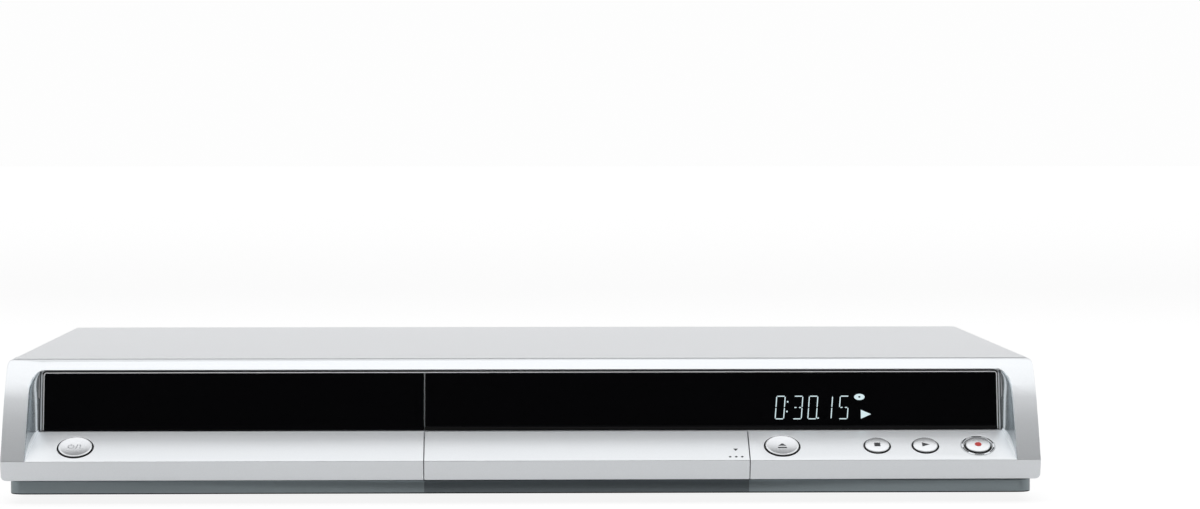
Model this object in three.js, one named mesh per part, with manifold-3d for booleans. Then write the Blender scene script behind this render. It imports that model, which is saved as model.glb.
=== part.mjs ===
// A full-width disc recorder: silver moulded front with a sloping shelf of buttons, a black display window,
// a motorised disc tray behind the left black panel and a drop-down jack flap in the middle of the shelf.
// Millimetres. +X is the right as seen from the front, +Y points to the back, +Z up.
// The origin is under the middle of the object, on the surface that it stands on.

import * as THREE from 'three';
import { mergeVertices } from 'three/addons/utils/BufferGeometryUtils.js';
import Module from 'manifold-3d';

const wasm = await Module();
wasm.setup();

// Driving sizes of the whole object
const body = { width: 430, depth: 286, height: 55, footHeight: 4, connectorReach: 8 };
const sheet = 1;          // steel sheet of cover, chassis and rear panel
const clearance = 0.3;    // between pieces that seat on or slide past each other
const seam = 0.5;         // visible joint line between two front pieces
const overrun = 1;        // how far a cutting shape runs past the piece it cuts
const facets = { wheel: 24, barrel: 20, hub: 16, pin: 12, post: 10, stud: 8 }; // faces round a round piece

const frontY = -(body.depth + body.connectorReach) / 2;
const rearY = frontY + body.depth;
const reachY = rearY + body.connectorReach;
const floorZ = body.footHeight;
const topZ = body.footHeight + body.height;
const halfWidth = body.width / 2;

// The front, measured as depth behind the front edge of the lip and as insets from the two ends
const lip = { topZ: 18.05, bottomZ: 9.95, lean: 2.6 };
const shelf = { depth: 18.5, rise: 11.05 };
const fascia = {
  wall: 2.2, cheek: 10, recessInset: 14, railHeight: 4.65, wallFront: 28, wallRear: 30,
  stripRear: 44, cornerRadius: 2.7, footRadius: 2, sillFront: 7.3, edgeDrop: 0.4,
};
const railBottomZ = topZ - fascia.railHeight;
const recessHalf = halfWidth - fascia.recessInset;
const cheek = { depth: 29.3, rimDepth: 24, roundWidth: 6, roundHeight: 8, roundSteps: 8 };
const cheekShares = [
  [0.1502, 0.1941], [0.3072, 0.3895], [0.4915, 0.6093], [0.6143, 0.7289], [0.7235, 0.8168],
];
const browShares = [[0.9522, 0.9683], [1, 0.9927]];
const onCheek = ([depthShare, heightShare]) => [
  depthShare * cheek.depth, lip.topZ + heightShare * (topZ - lip.topZ),
];
const cheekCurve = [...cheekShares.map(onCheek), [cheek.rimDepth, railBottomZ], ...browShares.map(onCheek)];
const panel = {
  bottomDepth: 19.5, topDepth: 24.3, bottomZ: 29.4, topDrop: 6.4, thickness: 3, sideGap: 0.4,
  trayReach: 79.25,
  stepHeight: 1.45, stepProud: 0.7,
};
const panelTopZ = topZ - panel.topDrop;
const trim = { thickness: 0.8, width: 1.3, height: 1, depth: 3.2, cornerRadius: 1.6 };
const trimTopZ = panelTopZ + trim.height;
const panelHalf = recessHalf - clearance - trim.width - panel.sideGap;

// The disc drive in a frame of its own: x from its middle, y from the disc's centre, z as for the object
const drive = {
  inset: 95, discDepth: 94, half: 73, wall: 3, front: -62, rear: 119, bottomZ: 12, baseTopZ: 14.5,
  wallTopZ: 50,
};
const driveX = drive.inset - halfWidth;
const discY = frontY + drive.discDepth;
const driveRight = driveX + drive.half;
const driveRearY = discY + drive.rear;
const seamX = driveX + panel.trayReach;

const display = {
  inset: 49, width: 106, bottomZ: 34, topDrop: 9.4, frontDepth: 32.4, thickness: 6.9, frame: 1.6,
  glassInset: 0.8,
  sideMargin: 6, topMargin: 1, bottomMargin: 1,
};
const displayRight = halfWidth - display.inset;
const displayLeft = displayRight - display.width;
const displayTopZ = topZ - display.topDrop;
const frontBoard = {
  driveGap: 19, inset: 19, bottomZ: 31, topDrop: 4, depth: 39.6, thickness: 1.6, postRadius: 3,
};
const frontBoardLeft = driveRight + frontBoard.driveGap;
const frontBoardRight = halfWidth - frontBoard.inset;
const frontBoardTopZ = topZ - frontBoard.topDrop;
const trayHole = { half: 76, lift: 1.9, drop: 0.3 };
const trayAperture = {
  left: driveX - trayHole.half, right: driveX + trayHole.half, bottomZ: panel.bottomZ + trayHole.lift,
  topZ: panelTopZ - trayHole.drop,
};
const glassAperture = {
  left: displayLeft - display.sideMargin, right: displayRight + display.sideMargin,
  bottomZ: display.bottomZ - display.bottomMargin, topZ: displayTopZ + display.topMargin,
};

const button = {
  along: 10.2, travel: 0.8, rim: 1, flange: 1, skirt: 4.6, stem: 1.6, largeRadius: 7, largeHole: 7.6,
  largeProud: 0.5,
  smallRadius: 5.2, smallHole: 5.7, smallProud: 0.9, dome: 0.6, recordRing: 7.1, recordGroove: 0.7,
  sides: 32,
};
const buttonInset = { power: 30, open_close: 106.9, stop: 67.3, play: 47.2, rec: 25.2 };
const buttonX = {
  power: buttonInset.power - halfWidth, open_close: halfWidth - buttonInset.open_close,
  stop: halfWidth - buttonInset.stop,
  play: halfWidth - buttonInset.play, rec: halfWidth - buttonInset.rec,
};
const keyBoard = {
  thickness: 1, below: 6.7, low: 3.5, high: 19, margin: 11, keySize: 5, keyHeight: 1.8, postRadius: 2.2,
};

const flap = {
  seamShift: 0.15, keyGap: 13.7, thickness: 2.2, axisDepth: 4.2, axisZ: 12, barrel: 1.6, pin: 0.8,
  pinLength: 2.4,
};
const flapLeft = seamX - flap.seamShift;
const flapRight = buttonX.open_close - flap.keyGap;
const jackBay = { inset: 2.9, wall: 1.5, front: 8, backDepth: 17, backWall: 1.6, topZ: 24.8, lift: 0.3 };
const bayLeft = flapLeft + jackBay.inset;
const bayRight = flapRight - jackBay.inset;
const frontJacks = {
  z: 18.4, ringRadius: 4, boreRadius: 1.7, boreDepth: 6, depth: 13.6, boardDepth: 25, boardThickness: 1.4,
};
const frontJackShares = {
  front_video_jack: 0.2, front_left_audio_jack: 0.37, front_right_audio_jack: 0.54,
};
const frontJackX = Object.fromEntries(Object.entries(frontJackShares).map(([name, share]) => {
  return [name, bayLeft + share * (bayRight - bayLeft)];
}));

const band = { inset: 6, sideInset: 3, topZ: 9.6, wall: 2.2, radius: 6, rear: 43.6 };
const bandHalf = halfWidth - band.sideInset;
const cover = { sideInset: 1, frontDepth: 44.3, bottomZ: 5.6, radius: 2 };
const coverHalf = halfWidth - cover.sideInset;
const vent = { count: 12, width: 2.4, height: 22, pitch: 6, rearInset: 109, bottomZ: 24 };
const sideScrew = {
  headRadius: 4, headHeight: 1.8, z: 16, frontInset: 87, rearInset: 27, driveWidth: 1, driveLength: 4.8,
};
const screwShank = sideScrew.headRadius / 2;
const screwPlaces = [frontY + sideScrew.frontInset, rearY - sideScrew.rearInset];

const pan = {
  flange: 9, sideGap: 0.4, postRadius: 3.5, boardZ: 13, slotCount: 10, slotLength: 46, slotWidth: 3,
  slotPitch: 9,
};
const foot = {
  radius: 13, sideInset: 50, frontInset: 63, rearInset: 34, shoulder: 1.2, topRadius: 11, sides: 32,
};

const rear = { inset: 1, bottomZ: 5.4, topDrop: 1.4, sideGap: 0.3, holeGap: 0.4 };
const rearTopZ = topZ - rear.topDrop;
const panelRear = rearY - rear.inset;
const panelFront = panelRear - sheet;
const board = { thickness: 1.6, gap: 0.3 };
const boardTopZ = pan.boardZ + board.thickness;
const jack = {
  ring: 4.4, bore: 1.7, boreDepth: 6, sides: 20, bodyDepth: 12, margin: 6.4, bottomZ: 21.5,
  rowPitch: 13, rows: 3,
};
const avJacks = { inset: 85, columnPitch: 16, columns: 3 };
const videoJacks = {
  componentInset: 145, squareInset: 163, squareBottomZ: 25, squarePitch: 19, ring: 5.6, bore: 3.6,
};
const optical = { inset: 193, z: 21, size: 9.6, hole: 5, reach: 2 };
const tuner = {
  inset: 12, width: 55, frontShare: 0.22, topDrop: 7, bottomConnectorZ: 24, connectorPitch: 19,
  connectorInset: 27,
  radius: 4.7, bore: 1.4, connectors: 2,
};
const opticalX = optical.inset - halfWidth;
const avPlan = { inset: 9, opticalMargin: 14, driveGap: 8 };
const powerPlan = { inset: 10, width: 113, frontInset: 87, rearInset: 27 };
const mainPlan = { driveGap: 11, powerGap: 8, frontInset: 55, avGap: 4 };
const avBoard = {
  left: avPlan.inset - halfWidth, right: opticalX + avPlan.opticalMargin,
  front: driveRearY + avPlan.driveGap, rear: panelFront - clearance * 2,
};
const powerRight = halfWidth - powerPlan.inset;
const powerBoard = {
  left: powerRight - powerPlan.width, right: powerRight, front: frontY + powerPlan.frontInset,
  rear: rearY - powerPlan.rearInset,
};
const mainBoard = {
  left: driveRight + mainPlan.driveGap, right: powerBoard.left - mainPlan.powerGap,
  front: frontY + mainPlan.frontInset, rear: avBoard.front - mainPlan.avGap,
};
const tunerLeft = tuner.inset - halfWidth;
const tunerRight = tunerLeft + tuner.width;
const tunerFront = avBoard.front + tuner.frontShare * (avBoard.rear - avBoard.front);
const tunerTopZ = topZ - tuner.topDrop;
const connectorX = tunerLeft + tuner.connectorInset;
const connectorZs = Array.from(
  { length: tuner.connectors }, (_, i) => tuner.bottomConnectorZ + i * tuner.connectorPitch,
);
const fan = {
  gap: 68, z: 34, size: 40, depth: 10, bore: 18.6, hub: 8, blades: 7, bladeTip: 17.6,
  bladeThickness: 1.2, bar: 2.4, sides: 32,
};
const fanX = avBoard.right + fan.gap;
const inlet = {
  inset: 31, z: 26, width: 28, height: 20, depth: 22, flange: 2, socketWidth: 18, socketHeight: 9,
  socketDepth: 14,
  pin: 1.2, pinSpacing: 8.5,
};
const inletX = halfWidth - inlet.inset;
const transformer = {
  along: 38, depthShare: 0.35, width: 42, depth: 36, height: 30, coreInset: 6, corner: 2,
};
const capacitor = { insets: [23, 17], depthShares: [0.465, 0.22], radius: 11, height: 32, bevel: 1 };
const powerDepth = powerBoard.rear - powerBoard.front;
const transformerY = powerBoard.front + transformer.depthShare * powerDepth;
const heatSink = {
  along: 58, depthShare: 0.71, width: 60, base: 3, height: 34, fins: 8, fin: 1.4, finReach: 14,
};

const tray = {
  half: 64, flangeHalf: 69.4, flangeBottomZ: 34, flangeTopZ: 37, bottomZ: 38, topZ: 44, skirt: 2.5,
  rearGap: 4,
  slotHalf: 20, discRadius: 61, discDepth: 3, smallRadius: 41, smallDepth: 1.2, hubRadius: 21, sides: 64,
};
const trayRear = drive.rear - tray.rearGap;
const rail = { width: 5.4, thickness: 2.2 };
const gear = {
  module: 1, rackRib: 3, pinionTeeth: 16, wheelTeeth: 32, smallTeeth: 12,
  axisX: 41.7, axisY: -43, wheelBottomZ: 28.6, wheelHeight: 3, pinionBottomZ: 33.6, pinionTopZ: 37.6,
  bore: 1.8, post: 1.5, addendumShare: 0.72, dedendumShare: 1.05, tipShare: 0.12, rootShare: 0.26,
};
const belt = {
  z: 24.4, height: 2, thickness: 1, pulley: 13, motorPulley: 3.5, flange: 1.1, flangeHeight: 0.7,
  centreX: -14, steps: 10,
};
const loadMotor = { radius: 8, bodyTopZ: 22.8, shaft: 0.9 };
const traverse = {
  half: 36, front: -20, rear: 92, bottomZ: 21, topZ: 24, hingeY: 88, hingeZ: 22.5, tilt: 4.6, pin: 2,
  pinReach: 4.2,
  openLeft: -28, openRight: 34, openFront: 14, openRear: 79, rodX: 24, rodZ: 28, rod: 1.5, block: 3.2,
  blockTop: 31,
};
const spindle = { radius: 13, height: 12, shaft: 1.2, shaftTop: 40 };
const turntable = {
  radius: 15, rimBottomZ: 40.6, topZ: 43, hub: 9, nose: 7.3, noseTop: 4.8, noseTopZ: 46.2,
  shaftHole: 1.5, holeTopZ: 41,
};
const sled = {
  half: 18, front: 15.5, length: 28, bottomZ: 25.4, topZ: 32.6, lens: 4, lensTopZ: 34.6, bush: 3.2,
};
const screw = { x: 30.5, radius: 1.5, arm: 3.6 };
const sledMotor = { radius: 6, front: -18, rear: 8 };
const bridge = { half: 14, thickness: 1.6, hole: 12, waist: 34 };
const clamper = { puck: 16, neck: 10, top: 15, puckBottomZ: 47.2, topThickness: 1.7 };
const cable = {
  width: 22, thickness: 0.6, leftX: 1.2, radius: 5.5, bottomZ: 18, topZ: 34, frontY: -10, steps: 8,
};

// Solids from outlines and boxes
function box(x0, x1, y0, y1, z0, z1) {
  const geometry = new THREE.BoxGeometry(x1 - x0, y1 - y0, z1 - z0);
  return geometry.translate((x0 + x1) / 2, (y0 + y1) / 2, (z0 + z1) / 2);
}

function extrude(outline, length, holes = []) {
  const shape = new THREE.Shape(outline.map(([a, b]) => new THREE.Vector2(a, b)));
  for (const hole of holes) {
    shape.holes.push(new THREE.Path(hole.map(([a, b]) => new THREE.Vector2(a, b))));
  }
  return new THREE.ExtrudeGeometry(shape, { depth: length, bevelEnabled: false, steps: 1 });
}

// Outline points are (y, z), extruded from x0 to x1
function alongX(outline, x0, x1) {
  const turn = new THREE.Matrix4().makeBasis(
    new THREE.Vector3(0, 1, 0), new THREE.Vector3(0, 0, 1), new THREE.Vector3(1, 0, 0));
  return extrude(outline, x1 - x0).applyMatrix4(turn).translate(x0, 0, 0);
}

// Outline points are (x, z), extruded from y0 to y1
function alongY(outline, y0, y1, holes = []) {
  return extrude(outline, y1 - y0, holes).rotateX(Math.PI / 2).translate(0, y1, 0);
}

// Outline points are (x, y), extruded from z0 to z1
function alongZ(outline, z0, z1, holes = []) {
  return extrude(outline, z1 - z0, holes).translate(0, 0, z0);
}

function circle(radius, sides, x = 0, y = 0) {
  return Array.from({ length: sides }, (_, i) => {
    const angle = (2 * Math.PI * (i + 1 / 2)) / sides;
    return [x + radius * Math.cos(angle), y + radius * Math.sin(angle)];
  });
}

// A rectangle with its own radius at each corner, from the lower left corner anticlockwise
function roundedRectangle(x0, x1, y0, y1, radii, steps = 4) {
  const corners = [
    [x0, y0, 1, 1, Math.PI], [x1, y0, -1, 1, -Math.PI / 2], [x1, y1, -1, -1, 0],
    [x0, y1, 1, -1, Math.PI / 2],
  ];
  return corners.flatMap(([x, y, sx, sy, start], index) => {
    const radius = radii[index];
    if (radius === 0) {
      return [[x, y]];
    }
    return Array.from({ length: steps + 1 }, (_, i) => {
      const angle = start + ((Math.PI / 2) * i) / steps;
      return [x + sx * radius + radius * Math.cos(angle), y + sy * radius + radius * Math.sin(angle)];
    });
  });
}

function disc(radius, z0, z1, sides = facets.wheel, x = 0, y = 0) {
  return alongZ(circle(radius, sides, x, y), z0, z1);
}

function turned(profile, sides = facets.wheel) {
  const points = profile.map(([radius, z]) => new THREE.Vector2(radius, z));
  return new THREE.LatheGeometry(points, sides).rotateX(Math.PI / 2);
}

// A convex outline moved inwards by a distance, with mitred corners; the outline runs anticlockwise
function inset(outline, distance) {
  const count = outline.length;
  return outline.map((point, i) => {
    const before = outline[(i + count - 1) % count];
    const after = outline[(i + 1) % count];
    const first = new THREE.Vector2(point[0] - before[0], point[1] - before[1]).normalize();
    const second = new THREE.Vector2(after[0] - point[0], after[1] - point[1]).normalize();
    const normal = new THREE.Vector2(-first.y - second.y, first.x + second.x).normalize();
    const stretch = distance / (normal.x * -first.y + normal.y * first.x);
    return [point[0] + normal.x * stretch, point[1] + normal.y * stretch];
  });
}

// Joining and cutting
function solid(shape) {
  if (!shape.isBufferGeometry) {
    return shape;
  }
  const bare = shape.clone();
  bare.deleteAttribute('normal');
  bare.deleteAttribute('uv');
  const merged = mergeVertices(bare);
  return new wasm.Manifold(new wasm.Mesh({
    numProp: 3,
    vertProperties: Float32Array.from(merged.attributes.position.array),
    triVerts: Uint32Array.from(merged.index.array),
  }));
}

function joined(...shapes) {
  return shapes.map(solid).reduce((whole, next) => whole.add(next));
}

function cut(base, ...tools) {
  return tools.map(solid).reduce((whole, next) => whole.subtract(next), solid(base));
}

function common(first, second) {
  return solid(first).intersect(solid(second));
}

function finish(color, roughness, metalness) {
  return () => new THREE.MeshStandardMaterial({ color, roughness, metalness });
}

const silverPlastic = finish(0xd2d6d8, 0.38, 0.45);
const silverPaint = finish(0xd5dadc, 0.42, 0.5);
const brightTrim = finish(0xe2e5e7, 0.2, 0.9);
const blackGloss = finish(0x050507, 0.08, 0);
const darkPlastic = finish(0x1a1b1d, 0.55, 0);
const greyPlastic = finish(0x5c6163, 0.5, 0.1);
const buttonCap = finish(0xe4e6e8, 0.3, 0.4);
const zincSteel = finish(0xa9acae, 0.4, 0.85);
const greenBoard = finish(0x1f5a37, 0.6, 0.05);
const rubber = finish(0x202122, 0.85, 0);
const whitePlastic = finish(0xe8e6df, 0.5, 0);
const yellowPlastic = finish(0xe2b51c, 0.5, 0);
const redPlastic = finish(0xb8221f, 0.5, 0);
const aluminium = finish(0x9da1a4, 0.4, 0.9);
const copperTape = finish(0xb9783a, 0.5, 0.4);

const recorder = new THREE.Group();

function place(name, shape, material, parent = recorder, position = [0, 0, 0]) {
  const mesh = solid(shape).getMesh();
  const geometry = new THREE.BufferGeometry();
  geometry.setAttribute('position', new THREE.BufferAttribute(mesh.vertProperties, mesh.numProp));
  geometry.setIndex(new THREE.BufferAttribute(mesh.triVerts, 1));
  geometry.computeVertexNormals();
  const piece = new THREE.Mesh(geometry, material());
  piece.name = name;
  piece.position.set(...position);
  parent.add(piece);
  return piece;
}

// The sloping shelf has its own frame: x, distance up the slope from the lip, height above the surface
const shelfAngle = Math.atan2(shelf.rise, shelf.depth);
const shelfGroup = new THREE.Group();
shelfGroup.position.set(0, frontY, lip.topZ);
shelfGroup.rotation.x = shelfAngle;
shelfGroup.updateMatrix();
recorder.add(shelfGroup);

function onShelf(geometry) {
  return geometry.applyMatrix4(shelfGroup.matrix);
}

function atDepth(outline) {
  return outline.map(([depth, z]) => [frontY + depth, z]);
}

function panelDepth(z) {
  const share = (z - panel.bottomZ) / (panelTopZ - panel.bottomZ);
  return panel.bottomDepth + (panel.topDepth - panel.bottomDepth) * share;
}

// Sections of the front
const shelfBackZ = lip.topZ + shelf.rise;
const fasciaOutline = [
  [lip.lean, lip.bottomZ], [fascia.stripRear, lip.bottomZ], [fascia.stripRear, topZ],
  [fascia.wallFront + fascia.wallRear - cheekCurve.at(-2)[0] + fascia.edgeDrop, topZ],
  ...cheekCurve.toReversed(), [0, lip.topZ],
];

function fasciaShell() {
  const inside = inset(fasciaOutline, fascia.wall).map(([depth, z]) => {
    return [depth > fascia.wallRear + fascia.wall ? fascia.stripRear + overrun : depth, z];
  });
  const outer = alongX(atDepth(fasciaOutline), -halfWidth, halfWidth);
  const hollow = alongX(atDepth(inside), -halfWidth + fascia.wall, halfWidth - fascia.wall);
  return cut(outer, hollow);
}

function recessShape() {
  const slope = shelf.rise / shelf.depth;
  const reach = shelf.depth;
  return [
    [-reach, lip.topZ - reach * slope], [shelf.depth, shelfBackZ], [fascia.wallFront, shelfBackZ],
    [fascia.wallFront, railBottomZ], [-reach, railBottomZ],
  ];
}

function recessLiner() {
  const under = fascia.wall / Math.cos(shelfAngle);
  const rim = cheekCurve.find(([, z]) => z === railBottomZ);
  const brow = cheekCurve[cheekCurve.indexOf(rim) + 1];
  const section = [
    [0, lip.topZ], [
      fascia.wall, lip.topZ + (fascia.wall * shelf.rise) / shelf.depth - under,
    ], [shelf.depth, shelfBackZ - under],
    [fascia.wallRear, shelfBackZ - under], [fascia.wallRear, brow[1]], brow, rim,
  ];
  return alongX(atDepth(section), -recessHalf - fascia.wall, recessHalf + fascia.wall);
}

function cheekInnerWall(side) {
  const rearLimit = box(-halfWidth, halfWidth, frontY, frontY + fascia.wallRear, lip.bottomZ, topZ);
  const near = recessHalf;
  const far = halfWidth - fascia.cheek + fascia.wall;
  const slab = alongX(atDepth(fasciaOutline), side < 0 ? -far : near, side < 0 ? -near : far);
  return common(slab, rearLimit);
}

// A solid through levels of six points each: front pair, middle pair and rear pair of a symmetrical plan
function lofted(levels) {
  const sides = 6;
  const index = [];
  for (let level = 0; level + 1 < levels.length; level += 1) {
    for (let i = 0; i < sides; i += 1) {
      const [low, lowNext] = [level * sides + i, level * sides + ((i + 1) % sides)];
      index.push(low, lowNext, lowNext + sides, low, lowNext + sides, low + sides);
    }
  }
  const cap = [0, 1, 2, 0, 2, 5, 5, 2, 3, 5, 3, 4];
  index.push(...cap.toReversed(), ...cap.map((corner) => corner + (levels.length - 1) * sides));
  const geometry = new THREE.BufferGeometry();
  geometry.setAttribute('position', new THREE.Float32BufferAttribute(levels.flat(2), 3));
  geometry.setIndex(index);
  return geometry;
}

// The recess widens from the window to a rounded front edge that runs along the cheeks
function cheekDepthAt(z) {
  const curve = [[0, lip.topZ], ...cheekCurve];
  const after = curve.findIndex(([, height]) => height >= z);
  const [depth0, z0] = curve[Math.max(after - 1, 0)];
  const [depth1, z1] = curve[Math.max(after, 1)];
  return depth0 + ((depth1 - depth0) * (z - z0)) / (z1 - z0);
}

function flareCut() {
  const wide = halfWidth - fascia.cheek;
  const roundZ = railBottomZ - cheek.roundHeight;
  const arc = Array.from(
    { length: cheek.roundSteps + 1 }, (_, i) => (Math.PI / 2) * (i / cheek.roundSteps),
  );
  const straight = [
    lip.topZ, ...cheekCurve.map(([, z]) => z).filter((z) => z < roundZ),
  ].map((z) => [wide, z]);
  const rounded = arc.map((angle) => {
    return [wide - cheek.roundWidth * (1 - Math.cos(angle)), roundZ + cheek.roundHeight * Math.sin(angle)];
  });
  return lofted([...straight, ...rounded].map(([half, z]) => {
    const rim = frontY + cheekDepthAt(z);
    const back = frontY + panelDepth(Math.max(z, panel.bottomZ)) - clearance;
    return [[-half, frontY - overrun, z], [half, frontY - overrun, z], [half, rim, z],
      [recessHalf, back, z],
      [-recessHalf, back, z], [-half, rim, z]];
  }));
}

function recessCut() {
  const behind = panelDepth(panel.bottomZ) - clearance * 2;
  const back = [
    [behind, lip.topZ], [behind, panel.bottomZ], [panelDepth(railBottomZ) - clearance * 2, railBottomZ],
    [fascia.wallFront, railBottomZ], [fascia.wallFront, lip.topZ],
  ];
  const opening = joined(flareCut(), alongX(atDepth(back), -recessHalf, recessHalf));
  return common(opening, alongX(atDepth(recessShape()), -halfWidth, halfWidth));
}

function shelfHole(x, radius, sides) {
  const depth = button.skirt;
  return onShelf(disc(radius, -depth, depth, sides, x, button.along));
}

function boardPosts(xs) {
  const bottom = -keyBoard.below + clearance;
  const overlap = fascia.wall / 2;
  return xs.flatMap(
    (x) => [onShelf(disc(keyBoard.postRadius, bottom, -fascia.wall + overlap, facets.post, x,
      button.along))],
  );
}

function frontFascia() {
  const silhouette = roundedRectangle(-halfWidth, halfWidth, lip.bottomZ, topZ,
    [fascia.footRadius, fascia.footRadius, fascia.cornerRadius, fascia.cornerRadius]);
  let shell = joined(fasciaShell(), recessLiner(), cheekInnerWall(-1), cheekInnerWall(1));
  shell = cut(shell, recessCut());
  const apertures = [trayAperture, glassAperture].map((hole) => {
    const y0 = frontY + fascia.wallFront - overrun;
    return box(hole.left, hole.right, y0, frontY + fascia.wallRear + overrun, hole.bottomZ, hole.topZ);
  });
  const flapBay = [
    [-overrun, lip.bottomZ - overrun], [fascia.sillFront, lip.bottomZ - overrun],
    [fascia.sillFront, lip.bottomZ + fascia.wall], [shelf.depth, lip.bottomZ + fascia.wall],
    [shelf.depth, shelfBackZ + overrun], [-overrun, shelfBackZ + overrun],
  ];
  const innerHalf = halfWidth - fascia.wall;
  const driveSpace = box(
    -innerHalf, innerHalf, frontY + fascia.wallRear, rearY, lip.bottomZ - overrun,
    lip.bottomZ + fascia.wall + overrun,
  );
  shell = cut(shell, ...apertures, driveSpace, alongX(atDepth(flapBay), flapLeft, flapRight));
  shell = joined(shell, ...boardPosts([buttonX.power - keyBoard.margin, buttonX.power + keyBoard.margin,
    (buttonX.open_close + buttonX.stop) / 2, (buttonX.stop + buttonX.play) / 2]), ...frontBoardPosts());
  const large = [buttonX.power, buttonX.open_close].map(
    (x) => shelfHole(x, button.largeHole, button.sides),
  );
  const small = [buttonX.stop, buttonX.play, buttonX.rec].map(
    (x) => shelfHole(x, button.smallHole, button.sides),
  );
  const groove = onShelf(
    disc(
      button.recordRing, -button.recordGroove, button.recordRing, button.sides, buttonX.rec,
      button.along,
    ),
  );
  const pinRadius = flap.pin + clearance;
  const pinHole = alongX(circle(pinRadius, facets.pin, frontY + flap.axisDepth, flap.axisZ),
    flapLeft - flap.pinLength - clearance, flapRight + flap.pinLength + clearance);
  shell = cut(shell, ...large, ...small, groove, pinHole);
  return common(shell, alongY(silhouette, frontY - overrun, frontY + body.depth));
}

function frontBoardPosts() {
  const rearOfPost = frontY + frontBoard.depth - clearance;
  const xs = [
    frontBoardLeft + keyBoard.margin, (flapRight + glassAperture.left) / 2,
    frontBoardRight - keyBoard.margin,
  ];
  const z = (glassAperture.topZ + frontBoardTopZ) / 2;
  return xs.map(
    (x) => alongY(
      circle(frontBoard.postRadius / 2, facets.post, x, z), frontY + fascia.wallRear - overrun,
      rearOfPost,
    ),
  );
}

function panelSection(stepped) {
  const { bottomZ, stepHeight, stepProud, thickness } = panel;
  const high = panelTopZ;
  const stepZ = bottomZ + stepHeight;
  const back = [[panelDepth(high) + thickness, high], [panelDepth(bottomZ) + thickness, bottomZ]];
  if (!stepped) {
    return [[panelDepth(bottomZ), bottomZ], ...back.toReversed(), [panelDepth(high), high]];
  }
  const step = panelDepth(bottomZ) - stepProud;
  return [
    [step, bottomZ], ...back.toReversed(), [panelDepth(high), high], [panelDepth(stepZ), stepZ],
    [step, stepZ],
  ];
}

function windowTrim() {
  const half = recessHalf - clearance;
  const low = panel.bottomZ;
  const side = [
    [panelDepth(low) - clearance, low], [panelDepth(low) + trim.depth, low],
    [panelDepth(trimTopZ) + trim.depth, trimTopZ], [panelDepth(trimTopZ) - clearance, trimTopZ],
  ];
  const outer = common(alongX(atDepth(side), -half, half),
    alongY(roundedRectangle(-half, half, low - overrun, trimTopZ,
      [0, 0, trim.cornerRadius, trim.cornerRadius]), frontY, rearY));
  const hole = box(
    -half + trim.width, half - trim.width, frontY, rearY, low - overrun, trimTopZ - trim.thickness,
  );
  return cut(outer, hole);
}

function baseBand() {
  const y0 = frontY + band.inset;
  const y1 = frontY + band.rear;
  const outer = roundedRectangle(-bandHalf, bandHalf, y0, y1, [band.radius, band.radius, 0, 0], 5);
  const inner = roundedRectangle(-bandHalf + band.wall, bandHalf - band.wall, y0 + band.wall, y1 + overrun,
    [band.radius - band.wall, band.radius - band.wall, 0, 0], 5);
  return cut(alongZ(outer, floorZ, band.topZ), alongZ(inner, floorZ - overrun, band.topZ + overrun));
}

function topCover() {
  const y0 = frontY + cover.frontDepth;
  const half = coverHalf;
  const outer = alongY(
    roundedRectangle(-half, half, cover.bottomZ, topZ, [0, 0, cover.radius, cover.radius]), y0, rearY,
  );
  const innerHalf = half - sheet;
  const innerRadius = cover.radius - sheet;
  const inner = roundedRectangle(
    -innerHalf, innerHalf, cover.bottomZ - overrun, topZ - sheet, [0, 0, innerRadius, innerRadius],
  );
  const slots = [-1, 1].flatMap((side) => Array.from({ length: vent.count }, (_, i) => {
    const y = rearY - vent.rearInset + i * vent.pitch;
    return box(
      side * half - sheet * 2, side * half + sheet * 2, y, y + vent.width, vent.bottomZ,
      vent.bottomZ + vent.height,
    );
  }));
  const holes = [-1, 1].flatMap((side) => screwPlaces.map((y) => {
    return alongX(
      circle(screwShank + clearance, facets.pin, y, sideScrew.z), side * half - sheet * 2,
      side * half + sheet * 2,
    );
  }));
  return cut(outer, alongY(inner, y0 - overrun, rearY + overrun), ...slots, ...holes);
}

// A domed head with a cross recess, its shank pointing along -Z from the head's seat
function coverScrew() {
  const { headRadius, headHeight, driveWidth, driveLength } = sideScrew;
  const shankLength = sheet * 2 + pan.flange / 3;
  const head = turned([[0, -shankLength], [screwShank, -shankLength], [screwShank, 0], [headRadius, 0],
    [headRadius, headHeight / 2], [headRadius * Math.cos(Math.PI / 4), headHeight], [0, headHeight]],
      facets.pin);
  const depth = headHeight / 2;
  const a = box(
    -driveLength / 2, driveLength / 2, -driveWidth / 2, driveWidth / 2, depth, headHeight + overrun,
  );
  const b = box(
    -driveWidth / 2, driveWidth / 2, -driveLength / 2, driveLength / 2, depth, headHeight + overrun,
  );
  return cut(head, a, b);
}

function casing() {
  place('front_fascia', frontFascia(), silverPlastic);
  place('window_trim', windowTrim(), brightTrim);
  place('display_window', alongX(atDepth(panelSection(true)), seamX + seam / 2, panelHalf), blackGloss);
  place('base_band', baseBand(), greyPlastic);
  place('top_cover', topCover(), silverPaint);
  let number = 1;
  for (const side of [-1, 1]) {
    for (const y of screwPlaces) {
      const screwPiece = place(`side_screw_${number}`, coverScrew(), zincSteel, recorder,
        [side * (coverHalf + clearance / 3), y, sideScrew.z]);
      screwPiece.rotation.y = (side * Math.PI) / 2;
      number += 1;
    }
  }
}

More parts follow.
